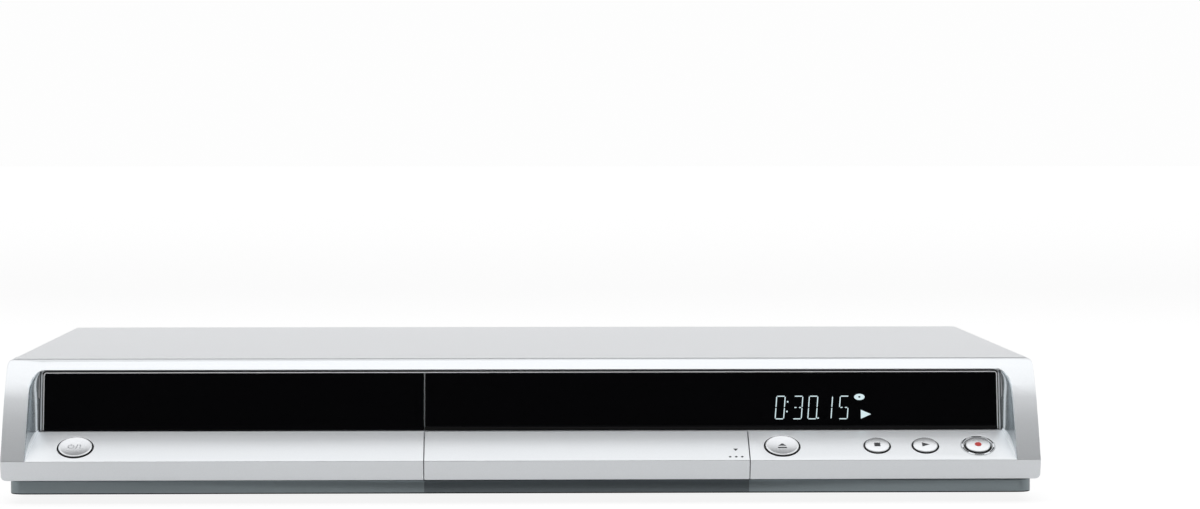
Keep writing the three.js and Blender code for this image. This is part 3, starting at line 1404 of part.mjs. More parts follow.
function pickupSled() {
  const { half, front, length, bottomZ, topZ: high, lens, lensTopZ, bush } = sled;
  const back = front + length;
  const { rodX, rodZ, rod } = traverse;
  const block = box(-half, half, front, back, bottomZ, high);
  const bushes = [-1, 1].map((side) => {
    const [x0, x1] = side < 0 ? [-rodX - bush, -half + overrun] : [half - overrun, rodX + bush];
    return box(x0, x1, front, back, rodZ - bush, rodZ + bush);
  });
  const middle = (front + back) / 2;
  const arm = box(rodX, screw.x + screw.arm, middle - bush, middle + bush, rodZ - bush, rodZ + bush);
  const holes = [-rodX, rodX].map(
    (x) => alongY(circle(rod + clearance, facets.pin, x, rodZ), front - overrun, back + overrun),
  );
  const nut = alongY(circle(screw.radius + clearance, facets.pin, screw.x, rodZ), front, back);
  return joined(
    cut(joined(block, ...bushes, arm), ...holes, nut),
    disc(lens, high - overrun, lensTopZ, facets.barrel, 0, front + half),
  );
}

function clamperShape() {
  const { puck, neck, top, puckBottomZ, topThickness } = clamper;
  const bridgeLow = drive.wallTopZ + clearance;
  const topLow = bridgeLow + bridge.thickness + clearance;
  return turned([[0, puckBottomZ], [puck, puckBottomZ], [puck, bridgeLow - clearance],
    [neck, bridgeLow - clearance],
    [neck, topLow], [top, topLow], [top, topLow + topThickness], [0, topLow + topThickness]],
      facets.barrel);
}

function clamperBridge() {
  const low = drive.wallTopZ + clearance;
  const { half, hole, waist, thickness } = bridge;
  const plan = [[-drive.half, -half], [-waist, -half], [-hole, -half - hole / 2],
    [hole, -half - hole / 2], [waist, -half], [drive.half, -half],
    [drive.half, half], [waist, half], [hole, half + hole / 2], [-hole, half + hole / 2],
    [-waist, half], [-drive.half, half]];
  return alongZ(plan, low, low + thickness, [circle(hole, facets.wheel)]);
}

// A flat flexible cable that arches from the drive's side to the main board
function driveCable() {
  const half = cable.thickness / 2;
  const middle = driveX + drive.half + cable.leftX + cable.radius;
  const arch = (radius, from, to) => Array.from({ length: cable.steps + 1 }, (_, i) => {
    const angle = from + ((to - from) * i) / cable.steps;
    return [middle + radius * Math.cos(angle), cable.topZ + radius * Math.sin(angle)];
  });
  const outer = cable.radius + half;
  const inner = cable.radius - half;
  const seat = boardTopZ + board.gap;
  const section = [[middle + outer, seat], ...arch(outer, 0, Math.PI), [middle - outer, cable.bottomZ],
    [middle - inner, cable.bottomZ], ...arch(inner, Math.PI, 0), [middle + inner, seat]];
  return alongY(section, cable.frontY, cable.frontY + cable.width);
}

function discDrive() {
  place('drive_chassis', driveChassis(), darkPlastic, driveGroup);
  place('disc_tray', discTray(), darkPlastic, driveGroup);
  place('tray_cover', alongX(atDepth(panelSection(false)), -panelHalf, seamX - seam / 2), blackGloss);
  place('loading_motor', loadingMotor(), zincSteel, driveGroup, [belt.centreX, gear.axisY, 0]);
  place('motor_pulley', motorPulley(), whitePlastic, driveGroup, [belt.centreX, gear.axisY, 0]);
  place('drive_belt', driveBelt(), rubber, driveGroup);
  place('pulley_gear', pulleyGear(), whitePlastic, driveGroup, [pulleyX, gear.axisY, 0]);
  place('rack_gear', rackGear(), whitePlastic, driveGroup, [gear.axisX, gear.axisY, 0]);
  place('traverse_frame', traverseFrame(), darkPlastic, traverseGroup);
  place('spindle_motor', spindleMotor(), zincSteel, traverseGroup);
  place('turntable', turntableShape(), darkPlastic, traverseGroup);
  place('pickup_sled', pickupSled(), darkPlastic, traverseGroup);
  const { rodX, rodZ, rod, openFront, openRear, block } = traverse;
  const rodEnds = [openFront - block + overrun, openRear + block - overrun];
  place(
    'left_guide_rod', alongY(circle(rod, facets.pin, -rodX, rodZ), ...rodEnds), zincSteel,
    traverseGroup,
  );
  place(
    'right_guide_rod', alongY(circle(rod, facets.pin, rodX, rodZ), ...rodEnds), zincSteel,
    traverseGroup,
  );
  place('lead_screw', alongY(circle(screw.radius, facets.pin), sledMotor.rear + clearance,
    openRear + block - overrun), zincSteel,
    traverseGroup, [screw.x, 0, rodZ]);
  place(
    'sled_motor', alongY(circle(sledMotor.radius, facets.barrel), sledMotor.front, sledMotor.rear),
    zincSteel, traverseGroup, [screw.x, 0, rodZ],
  );
  place('clamper_bridge', clamperBridge(), zincSteel, driveGroup);
  place('clamper', clamperShape(), whitePlastic, driveGroup);
  place('drive_cable', driveCable(), whitePlastic);
}

casing();
buttons();
flapAndJacks();
underside();
rearPieces();
electronics();
discDrive();

export default recorder;
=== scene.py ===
"""A silver disc recorder on white paper: fascia, window, display, keys, cover, sockets and disc drive."""
import math

import bmesh
import bpy
from mathutils import Matrix, Vector


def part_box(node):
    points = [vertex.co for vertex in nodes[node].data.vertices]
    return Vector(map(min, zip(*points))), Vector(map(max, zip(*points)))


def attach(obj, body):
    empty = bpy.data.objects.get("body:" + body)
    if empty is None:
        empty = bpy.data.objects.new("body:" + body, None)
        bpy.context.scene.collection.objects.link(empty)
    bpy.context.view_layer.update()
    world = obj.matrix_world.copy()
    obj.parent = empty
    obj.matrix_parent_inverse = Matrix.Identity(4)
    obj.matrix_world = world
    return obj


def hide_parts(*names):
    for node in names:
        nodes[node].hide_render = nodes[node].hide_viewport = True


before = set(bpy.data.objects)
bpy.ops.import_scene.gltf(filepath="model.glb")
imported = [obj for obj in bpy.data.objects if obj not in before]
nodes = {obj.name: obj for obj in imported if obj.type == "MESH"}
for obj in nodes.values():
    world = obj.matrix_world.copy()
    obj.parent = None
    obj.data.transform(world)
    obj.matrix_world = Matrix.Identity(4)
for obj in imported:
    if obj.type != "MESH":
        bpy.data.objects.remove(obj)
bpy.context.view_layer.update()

scene = bpy.context.scene

MM = 0.001
FRONT_Y = -147 * MM
LIP_TOP = 18.05 * MM
SHELF_ANGLE = math.atan2(11.05, 18.5)
KEY_ALONG = 10.2 * MM
KEYS = {"power": -185, "open_close": 108.1, "stop": 147.7, "play": 167.8, "rec": 189.8}
WINDOW = {"bottom": 29.4, "top": 52.6, "bottom_depth": 19.5, "top_depth": 24.3}
LOOKS = {}


# Colour, mesh and object helpers
def srgb(*values):
    """A linear colour from the 0 to 255 values seen in a picture."""
    def linear(value):
        share = value / 255
        return share / 12.92 if share <= 0.04045 else ((share + 0.055) / 1.055) ** 2.4
    return (*map(linear, values), 1.0)


def linked(name, content):
    """A new object in the scene."""
    holder = bpy.data.objects.new(name, content)
    scene.collection.objects.link(holder)
    return holder


def new_piece(name, mesh, body, finish, replaced=()):
    """Links a mesh as a piece, with its body, finishes by name and the solids that it stands for."""
    piece = linked(name, mesh)
    mesh.materials.clear()
    for look in finish.split():
        mesh.materials.append(LOOKS[look])
    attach(piece, body)
    if replaced:
        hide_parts(*replaced)
    return piece


def mesh_from(name, build):
    """Runs build on an empty bmesh and returns the closed result as a mesh with its faces outward."""
    shape = bmesh.new()
    build(shape)
    bmesh.ops.remove_doubles(shape, verts=shape.verts, dist=1e-7)
    bmesh.ops.recalc_face_normals(shape, faces=shape.faces)
    mesh = bpy.data.meshes.new(name)
    shape.to_mesh(mesh)
    shape.free()
    return mesh


def smooth_by_angle(mesh, degrees):
    """Smooth shading with hard edges wherever two faces meet at more than the angle."""
    shape = bmesh.new()
    shape.from_mesh(mesh)
    limit = math.radians(degrees)
    for face in shape.faces:
        face.smooth = True
    for edge in shape.edges:
        edge.smooth = len(edge.link_faces) == 2 and edge.calc_face_angle(0) < limit
    shape.to_mesh(mesh)
    shape.free()


def evaluated(holder):
    """The mesh that an object's modifiers make, as a mesh of its own."""
    graph = bpy.context.evaluated_depsgraph_get()
    graph.update()
    return bpy.data.meshes.new_from_object(holder.evaluated_get(graph), preserve_all_data_layers=True,
                                           depsgraph=graph)


def worked(mesh, kind, **settings):
    """The mesh after one modifier of a kind with its settings."""
    holder = linked("work", mesh)
    step = holder.modifiers.new(kind.lower(), kind)
    for title, value in settings.items():
        setattr(step, title, value)
    result = evaluated(holder)
    bpy.data.objects.remove(holder)
    return result


def carved(mesh, tool_mesh, **settings):
    """The mesh with another one cut out of it."""
    tool = linked("tool", tool_mesh)
    result = worked(mesh, "BOOLEAN", operation="DIFFERENCE", object=tool, **settings)
    bpy.data.objects.remove(tool)
    return result


def softened(node, name, radius, whole_under=0, shaped=None, hollow=None):
    """A copy of a solid's mesh with its doubles merged, its flat faces cleaned and its edges rounded.

    Faces with a shorter outline than whole_under stay whole, shaped moves the copy's points before the
    rounding, and hollow is a mesh that is cut out of it after the rounding. Sizes are in millimetres."""
    doubles, flat, sharp, smooth = 2e-6, math.radians(0.6), math.radians(28), 40
    mesh = nodes[node].data.copy()
    shape = bmesh.new()
    shape.from_mesh(mesh)
    bmesh.ops.remove_doubles(shape, verts=shape.verts, dist=doubles)
    bmesh.ops.dissolve_limit(shape, angle_limit=flat, verts=shape.verts, edges=shape.edges)
    large = [face for face in shape.faces if len(face.verts) > 4 and face.calc_perimeter() > whole_under * MM]
    bmesh.ops.triangulate(shape, faces=large)
    if shaped:
        for vert in shape.verts:
            vert.co = shaped(vert.co)
    shape.to_mesh(mesh)
    shape.free()
    work = worked(mesh, "BEVEL", width=radius * MM, segments=2, limit_method="ANGLE", angle_limit=sharp,
                  use_clamp_overlap=False, miter_outer="MITER_ARC", loop_slide=False)
    if hollow:
        work = carved(work, hollow, solver="MANIFOLD")
    smooth_by_angle(work, smooth)
    result = worked(work, "WEIGHTED_NORMAL", mode="FACE_AREA", weight=100, keep_sharp=True)
    result.name = name
    return result


def soft_piece(node, name, radius, body, slot, finish, **more):
    """The rounded copy of one solid, as the piece that stands for it."""
    return new_piece(name, softened(node, name, radius, **more), body, finish, [node])


def moved(mesh, matrix):
    mesh.transform(matrix)
    return mesh


def at(x, y, z):
    """A place in millimetres."""
    return Matrix.Translation((x * MM, y * MM, z * MM))


def turned(degrees):
    """A turn about X."""
    return Matrix.Rotation(math.radians(degrees), 4, "X")


def shelf_place(x_mm, along=KEY_ALONG):
    """A place on the sloping shelf, Z square to it; along is how far up from the lip, else a key's middle."""
    foot = Matrix.Translation((x_mm * MM, FRONT_Y, LIP_TOP)) @ Matrix.Rotation(SHELF_ANGLE, 4, "X")
    return foot @ Matrix.Translation((0, along, 0))


def glass_depth(z_mm):
    """How far the glass lies behind the front at a height, in millimetres."""
    share = (z_mm - WINDOW["bottom"]) / (WINDOW["top"] - WINDOW["bottom"])
    return WINDOW["bottom_depth"] + share * (WINDOW["top_depth"] - WINDOW["bottom_depth"])


def window_place(z_mm):
    """A point in the middle of the window's face, Z out of the glass and Y up it."""
    tilt = math.atan2(WINDOW["top_depth"] - WINDOW["bottom_depth"], WINDOW["top"] - WINDOW["bottom"])
    place = Matrix.Translation((0, FRONT_Y + glass_depth(z_mm) * MM, z_mm * MM))
    return place @ Matrix.Rotation(math.pi / 2 - tilt, 4, "X")


def lathe(profile, sides=64, smooth=0):
    """A closed solid of revolution about Z, smoothed below an angle if one is given.

    The profile runs from the axis up and back to the axis, in millimetres."""
    def build(shape):
        rings = []
        for radius, height in profile:
            turns = [2 * math.pi * i / sides for i in range(sides if radius else 1)]
            rings.append([shape.verts.new((radius * MM * math.cos(turn), radius * MM * math.sin(turn),
                                           height * MM)) for turn in turns])
        for low, high in zip(rings, rings[1:]):
            for i in range(sides):
                j = (i + 1) % sides
                corners = [low[i % len(low)], low[j % len(low)], high[j % len(high)], high[i % len(high)]]
                unique = list(dict.fromkeys(corners))
                if len(unique) > 2:
                    shape.faces.new(unique)
        if profile[0][0] and profile[-1][0]:
            for i in range(sides):
                j = (i + 1) % sides
                shape.faces.new([rings[-1][i], rings[-1][j], rings[0][j], rings[0][i]])

    mesh = mesh_from("turned", build)
    if smooth:
        smooth_by_angle(mesh, smooth)
    return mesh


def arc(cx, cy, radius, start, end, steps=6):
    """Profile points on an arc, angles in degrees."""
    turns = [math.radians(start + (end - start) * i / steps) for i in range(steps + 1)]
    return [(cx + radius * math.cos(turn), cy + radius * math.sin(turn)) for turn in turns]


def plates(outlines, thickness, low=0.0):
    """Flat signs: each outline (x, y in millimetres, anticlockwise) becomes a thin closed plate."""
    def build(shape):
        for outline in outlines:
            bottom, top = ([shape.verts.new((x * MM, y * MM, level * MM)) for x, y in outline]
                           for level in (low, low + thickness))
            shape.faces.new(top)
            shape.faces.new(bottom[::-1])
            for i in range(len(outline)):
                j = (i + 1) % len(outline)
                shape.faces.new([bottom[i], bottom[j], top[j], top[i]])
    return mesh_from("signs", build)


def ring_outline(radius, width, start, end, steps):
    """A curved strip as one plate outline, angles in degrees."""
    outer = arc(0, 0, radius, start, end, steps)
    return outer + [(x * (radius - width) / radius, y * (radius - width) / radius) for x, y in outer[::-1]]


def disc_outline(radius, x, y, sides, squash=1):
    turns = [2 * math.pi * i / sides for i in range(sides)]
    return [(x + radius * math.cos(turn), y + squash * radius * math.sin(turn)) for turn in turns]


def loft(shape, rings):
    """Faces between closed rings of points, with a cap on each end."""
    count = len(rings[0])
    for low, high in zip(rings, rings[1:]):
        for i in range(count):
            j = (i + 1) % count
            shape.faces.new([low[i], low[j], high[j], high[i]])
    shape.faces.new(rings[0][::-1])
    shape.faces.new(rings[-1])


def split_at(mesh, places):
    """Cuts a mesh across X at each place, so that its faces can take different finishes there."""
    shape = bmesh.new()
    shape.from_mesh(mesh)
    for x in places:
        bmesh.ops.bisect_plane(shape, geom=shape.verts[:] + shape.edges[:] + shape.faces[:],
                               plane_co=(x, 0, 0), plane_no=(1, 0, 0))
    shape.to_mesh(mesh)
    shape.free()


def joined_mesh(name, meshes):
    """One mesh out of several, each keeping its shading."""
    shape = bmesh.new()
    for mesh in meshes:
        shape.from_mesh(mesh)
    whole = bpy.data.meshes.new(name)
    shape.to_mesh(whole)
    shape.free()
    return whole


# Node groups for the finishes
def add(tree, kind, settings=None, **inputs):
    """A node with its settings, its plain inputs and its links; an input is named, or numbered after a _."""
    node = tree.nodes.new(kind)
    for key, value in (settings or {}).items():
        setattr(node, key, value)
    for key, value in inputs.items():
        numbered = key[0] == "_" and key[1:].isdigit()
        socket = node.inputs[int(key[1:]) if numbered else key.replace("_", " ")]
        if isinstance(value, bpy.types.NodeSocket):
            tree.links.new(value, socket)
        else:
            socket.default_value = value
    return node


def math_node(tree, operation, first, second=0.0):
    return add(tree, "ShaderNodeMath", {"operation": operation}, _0=first, _1=second).outputs[0]


def product(tree, first, second):
    return math_node(tree, "MULTIPLY", first, second)


def tinted(tree, colour, amount):
    """The colour made lighter or darker by a factor near 1."""
    return add(tree, "ShaderNodeHueSaturation", None, Color=colour, Value=amount).outputs["Color"]


def spread(tree, value, amount):
    """1 plus or minus half the amount, from a 0 to 1 value."""
    return math_node(tree, "ADD", product(tree, math_node(tree, "SUBTRACT", value, 0.5), amount), 1.0)


def noise(tree, place, scale, detail, **more):
    node = add(tree, "ShaderNodeTexNoise", None, Vector=place, Scale=scale, Detail=detail, **more)
    return node.outputs["Fac"]


def cells(tree, place, scale):
    return add(tree, "ShaderNodeTexVoronoi", {"feature": "F1"}, Vector=place, Scale=scale).outputs


def cell_value(tree, place, scale):
    """A value of its own for each cell of the surface."""
    return add(tree, "ShaderNodeSeparateColor", None, Color=cells(tree, place, scale)["Color"]).outputs["Red"]


def bricks(tree, place, scale, mortar, width, height):
    return add(tree, "ShaderNodeTexBrick", None, Vector=place, Scale=scale, Mortar_Size=mortar,
               Brick_Width=width, Row_Height=height).outputs["Fac"]


def chosen(tree, share, first, second):
    return add(tree, "ShaderNodeMix", {"data_type": "RGBA"}, _0=share, _6=first, _7=second).outputs[2]


def stretched(tree, place, stretch):
    return add(tree, "ShaderNodeVectorMath", {"operation": "MULTIPLY"}, _0=place, _1=stretch).outputs[0]


def finish_group(name, **inputs):
    """A shader group with its sockets; returns the tree, its inputs and the Object coordinates."""
    tree = bpy.data.node_groups.new(name, "ShaderNodeTree")
    kinds = {1: "NodeSocketFloat", 3: "NodeSocketVector", 4: "NodeSocketColor"}
    for title, value in inputs.items():
        kind = kinds[1 if isinstance(value, float) else len(value)]
        socket = tree.interface.new_socket(title.replace("_", " "), in_out="INPUT", socket_type=kind)
        socket.default_value = value
    for title, size in (("Colour", 4), ("Roughness", 1), ("Normal", 3)):
        tree.interface.new_socket(title, in_out="OUTPUT", socket_type=kinds[size])
    start = tree.nodes.new("NodeGroupInput").outputs
    return tree, start, add(tree, "ShaderNodeTexCoord").outputs["Object"]


def finished_group(tree, colour, roughness, height, strength, depth):
    """Puts out a group's colour and roughness, and the normal of a relief of a depth in metres."""
    end = tree.nodes.new("NodeGroupOutput").inputs
    bump = add(tree, "ShaderNodeBump", None, Strength=strength, Distance=depth, Height=height)
    for title, value in (("Colour", colour), ("Roughness", roughness), ("Normal", bump.outputs["Normal"])):
        tree.links.new(value, end[title])
    return tree


def build_paint_flake():
    """Metal flake in silver paint: tiny cells of different brightness over a soft orange peel."""
    tree, start, place = finish_group(
        "paint_flake", Colour=(0.7, 0.72, 0.73, 1), Flake_Scale=2600.0, Flake_Contrast=0.05, Roughness=0.35,
        Roughness_Spread=0.2, Peel_Height=0.2)
    glint = cell_value(tree, place, start["Flake Scale"])
    broad = noise(tree, place, 9.0, 3.0)
    mixed = product(tree, spread(tree, glint, start["Flake Contrast"]), spread(tree, broad, 0.02))
    rough = product(tree, start["Roughness"], spread(tree, glint, start["Roughness Spread"]))
    return finished_group(tree, tinted(tree, start["Colour"], mixed), rough, noise(tree, place, 900.0, 2.0),
                          start["Peel Height"], 0.00003)


def build_moulded_grain():
    """Spark-eroded grain of a moulded plastic, with a little variation from the mould."""
    tree, start, place = finish_group(
        "moulded_grain", Colour=(0.03, 0.03, 0.03, 1), Grain_Scale=1500.0, Grain_Height=0.5, Roughness=0.55,
        Variation=0.12)
    grain = noise(tree, place, start["Grain Scale"], 4.0)
    broad = noise(tree, place, 24.0, 3.0)
    colour = tinted(tree, start["Colour"], spread(tree, broad, start["Variation"]))
    rough = product(tree, start["Roughness"], spread(tree, grain, 0.25))
    return finished_group(tree, colour, rough, grain, start["Grain Height"], 0.00005)


def build_rolled_metal():
    """Rolling lines along X, spangle and handling marks on plated sheet."""
    tree, start, place = finish_group(
        "rolled_metal", Colour=(0.4, 0.4, 0.4, 1), Line_Scale=900.0, Stretch=(0.02, 1.0, 1.0),
        Line_Contrast=0.1, Spangle=0.08, Roughness=0.35, Line_Height=0.25)
    lines = noise(tree, stretched(tree, place, start["Stretch"]), start["Line Scale"], 3.0)
    spangle = cell_value(tree, place, 160.0)
    streaks = spread(tree, lines, start["Line Contrast"])
    mixed = product(tree, streaks, spread(tree, spangle, start["Spangle"]))
    rough = product(tree, start["Roughness"], spread(tree, lines, 0.4))
    colour = tinted(tree, start["Colour"], mixed)
    return finished_group(tree, colour, rough, lines, start["Line Height"], 0.00002)


def build_board_tracks():
    """Green lacquer over copper tracks, with tinned pads; parts above Part Height have dark cases."""
    tree, start, place = finish_group(
        "board_tracks", Lacquer=(0.01, 0.09, 0.03, 1), Track=(0.03, 0.18, 0.07, 1), Pad=(0.55, 0.55, 0.5, 1),
        Part=(0.012, 0.012, 0.014, 1), Part_Height=1.0, Track_Scale=240.0, Roughness=0.4)
    axes = add(tree, "ShaderNodeSeparateXYZ", None, Vector=place).outputs
    crosswise = add(tree, "ShaderNodeCombineXYZ", None, X=axes["Y"], Y=axes["X"], Z=axes["Z"]).outputs[0]
    area = noise(tree, place, 45.0, 1.0)
    busy = product(tree, bricks(tree, crosswise, 130.0, 0.05, 2.6, 0.55),
                   math_node(tree, "GREATER_THAN", area, 0.5))
    quiet = product(tree, bricks(tree, place, start["Track Scale"], 0.04, 1.7, 0.35),
                    math_node(tree, "LESS_THAN", area, 0.54))
    track = math_node(tree, "MAXIMUM", busy, quiet)
    pads = math_node(tree, "LESS_THAN", cells(tree, place, 260.0)["Distance"], 0.16)
    colour = chosen(tree, pads, chosen(tree, track, start["Lacquer"], start["Track"]), start["Pad"])
    above = math_node(tree, "GREATER_THAN", axes["Z"], start["Part Height"])
    rough = product(tree, start["Roughness"], spread(tree, area, 0.4))
    return finished_group(tree, chosen(tree, above, colour, start["Part"]), rough, track, 0.3, 0.00004)


def build_polish_haze():
    """Faint haze and wiping marks on polished black."""
    tree, start, place = finish_group(
        "polish_haze", Colour=(0.003, 0.003, 0.004, 1), Roughness=0.05, Haze=0.04)
    marks = noise(tree, stretched(tree, place, (0.25, 1.0, 1.0)), 60.0, 5.0, Distortion=0.4)
    rough = math_node(tree, "ADD", start["Roughness"], product(tree, marks, start["Haze"]))
    colour = tinted(tree, start["Colour"], spread(tree, marks, 0.3))
    return finished_group(tree, colour, rough, marks, 0.05, 0.00005)


GROUPS = {"flake": build_paint_flake(), "grain": build_moulded_grain(), "metal": build_rolled_metal(),
          "board": build_board_tracks(), "haze": build_polish_haze()}


def finish(name, effect, colour=None, roughness=0.4, metallic=0.0, **values):
    """Adds a look that takes colour, roughness and relief from a group; values go to it or the shader."""
    look = bpy.data.materials.new(name)
    look.use_nodes = True
    tree = look.node_tree
    shader = tree.nodes["Principled BSDF"]
    group = tree.nodes.new("ShaderNodeGroup")
    group.node_tree = GROUPS[effect]
    values = {"Metallic": metallic, "Roughness": roughness, **values}
    if colour:
        values["Colour"] = srgb(*colour)
    for key, value in values.items():
        title = key.replace("_", " ")
        owner = group if title in group.inputs else shader
        owner.inputs[title].default_value = value
    for output, title in (("Colour", "Base Color"), ("Roughness", "Roughness"), ("Normal", "Normal")):
        tree.links.new(group.outputs[output], shader.inputs[title])
    LOOKS[name] = look
    return tree, shader


def lit_finish(name, colour, strength):
    """A lit segment: its own light with a faint unevenness across it."""
    tree, shader = finish(name, "haze", (40, 44, 48), 0.5, Haze=0.1)
    place = add(tree, "ShaderNodeTexCoord").outputs["Object"]
    uneven = noise(tree, place, 700.0, 2.0)
    tree.links.new(tinted(tree, srgb(*colour), spread(tree, uneven, 0.12)), shader.inputs["Emission Color"])
    shader.inputs["Emission Strength"].default_value = strength


FINE = {"Roughness_Spread": 0.08, "Peel_Height": 0.02}
EVEN = {"Stretch": (1.0, 1.0, 1.0), "Spangle": 0.0}
finish("silver_front", "flake", (231, 234, 237), 0.29, 0.63, Flake_Contrast=0.025, Roughness_Spread=0.06,
       Peel_Height=0.03)
finish("silver_cover", "flake", (236, 238, 241), 0.36, 0.5, Flake_Contrast=0.04, Roughness_Spread=0.1,
       Peel_Height=0.1)
finish("side_silver", "flake", (206, 211, 215), 0.45, 0.1, Flake_Contrast=0.025, Roughness_Spread=0.08,
       Peel_Height=0.03)
# Painted highlight: a copy of the front silver that mirrors more, on the recess hollows so that they read
# lighter
finish("silver_hollow", "flake", (203, 211, 216), 0.24, 0.92, Flake_Contrast=0.02, **FINE)
finish("key_silver", "flake", (226, 228, 231), 0.24, 0.7, Flake_Contrast=0.02, **FINE)
# Painted highlight: a near-white matt finish for the glass bead, so that it reads bright in the shade under
# the brow
finish("bead_painted_highlight", "metal", (248, 249, 250), 0.3, 0.0, Line_Contrast=0.05, Spangle=0.0, Line_Height=0.05)
finish("window_black", "haze", (6, 6, 8), 0.04, Haze=0.03, Specular_IOR_Level=0.1, IOR=1.49)
finish("band_grey", "flake", (137, 147, 151), 0.34, 0.6, Peel_Height=0.1)
# Painted shade: a darker copy of the band grey, for the band's front under the flap
finish("band_dark", "flake", (102, 110, 114), 0.34, 0.6, Peel_Height=0.1)
finish("dark_plastic", "grain", (34, 35, 37), 0.5, Grain_Height=0.4)
finish("tray_plastic", "grain", (30, 31, 33), 0.42, Grain_Height=0.25)
finish("sign_pale", "grain", (138, 139, 144), 0.6, Grain_Height=0.1)
finish("sign_dark", "grain", (58, 59, 63), 0.55, Grain_Height=0.1)
finish("sign_red", "grain", (206, 58, 56), 0.45, Grain_Height=0.1)
# Painted shade: a near-black put on faces that sit in shade, in the key holes, on the keys' sides, on the
# trim's top bar and under the band
finish("gap_black", "grain", (16, 17, 18), 0.7, Grain_Height=0.2)
finish("foot_rubber", "grain", (38, 38, 40), 0.85, Grain_Height=0.8)
finish("gear_white", "grain", (232, 230, 220), 0.4, Grain_Height=0.12, Variation=0.04)
SOCKET_COLOURS = {"yellow": (236, 190, 40), "white": (234, 232, 226), "red": (196, 44, 40),
                  "green": (44, 140, 74), "blue": (44, 84, 176)}
for colour, values in SOCKET_COLOURS.items():
    finish(f"socket_{colour}", "grain", values, 0.42, Grain_Height=0.15, Variation=0.05)
finish("zinc_sheet", "metal", (186, 189, 190), 0.34, 1.0)
finish("bright_steel", "metal", (214, 215, 216), 0.16, 1.0, Spangle=0.0, Stretch=(1.0, 0.03, 1.0),
       Line_Contrast=0.08)
finish("nickel_ring", "metal", (206, 204, 198), 0.2, 1.0, Line_Contrast=0.06, **EVEN)
finish("screw_steel", "metal", (198, 200, 202), 0.26, 1.0, **EVEN)
finish("fin_aluminium", "metal", (196, 199, 201), 0.38, 1.0, Spangle=0.0, Stretch=(1.0, 1.0, 0.03))
finish("copper_tape", "metal", (202, 132, 84), 0.3, 1.0, Spangle=0.02)
BOARD = {"Lacquer": srgb(22, 84, 48), "Track": srgb(38, 118, 66)}
finish("board_green", "board", **BOARD)
finish("board_level", "board", Part_Height=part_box("main_board")[0][2] + 1.68 * MM, **BOARD)
lit_finish("lit_segment", (212, 232, 236), 1.0)


# Geometry node trees for what repeats
def geometry_tree(name, **inputs):
    """A geometry tree with its inputs; returns the tree, its start and the inputs' identifiers."""
    tree = bpy.data.node_groups.new(name, "GeometryNodeTree")
    for way in ("INPUT", "OUTPUT"):
        tree.interface.new_socket("Geometry", in_out=way, socket_type="NodeSocketGeometry")
    names = {}
    for title, kind in inputs.items():
        socket = tree.interface.new_socket(title, in_out="INPUT", socket_type="NodeSocket" + kind)
        names[title] = socket.identifier
    return tree, tree.nodes.new("NodeGroupInput").outputs, names


def finished_tree(tree, geometry, look):
    """Ends a geometry tree: everything is made real and gets its look."""
    real = add(tree, "GeometryNodeRealizeInstances", None, Geometry=geometry)
    painted = add(tree, "GeometryNodeSetMaterial", None, Geometry=real.outputs["Geometry"], Material=look)
    tree.links.new(painted.outputs["Geometry"], tree.nodes.new("NodeGroupOutput").inputs["Geometry"])


def grown(name, mesh, tree, names, **values):
    """The plain mesh that a geometry tree makes of another mesh."""
    holder = linked(name + "_start", mesh)
    pattern = holder.modifiers.new("pattern", "NODES")
    pattern.node_group = tree
    for title, value in values.items():
        pattern[names[title]] = value
    result = evaluated(holder)
    holder.modifiers.remove(pattern)
    bpy.data.objects.remove(holder)
    result.name = name
    return result


def build_repeat_tree():
    """Puts one shape at every point of a mesh, turned by the point's turn."""
    tree, start, names = geometry_tree("repeat_on_points", Shape="Object", Look="Material", Size="Float")
    shape = add(tree, "GeometryNodeObjectInfo", None, Object=start["Shape"])
    turn = add(tree, "GeometryNodeInputNamedAttribute", {"data_type": "FLOAT_VECTOR"}, Name="turn")
    copies = add(tree, "GeometryNodeInstanceOnPoints", None, Points=start["Geometry"], Scale=start["Size"],
                 Instance=shape.outputs["Geometry"], Rotation=turn.outputs["Attribute"])
    finished_tree(tree, copies.outputs["Instances"], start["Look"])
    return tree, names


REPEAT = build_repeat_tree()


def repeated(name, shape_mesh, places, look):
    """One mesh with the shape at each place: (x, y, z) in millimetres and (rx, ry, rz) in degrees."""
    points = bpy.data.meshes.new(name + "_points")
    points.from_pydata([[value * MM for value in place] for place, _ in places], [], [])
    turns = points.attributes.new("turn", "FLOAT_VECTOR", "POINT")
    for item, (_, turn) in zip(turns.data, places):
        item.vector = [math.radians(angle) for angle in turn]
    source = linked(name + "_shape", shape_mesh)
    result = grown(name, points, *REPEAT, Shape=source, Look=LOOKS[look], Size=1.0)
    bpy.data.objects.remove(source)
    return result


def repeated_piece(name, shape_mesh, places, body, look, replaced=()):
    return new_piece(name, repeated(name, shape_mesh, places, look), body, look, replaced)


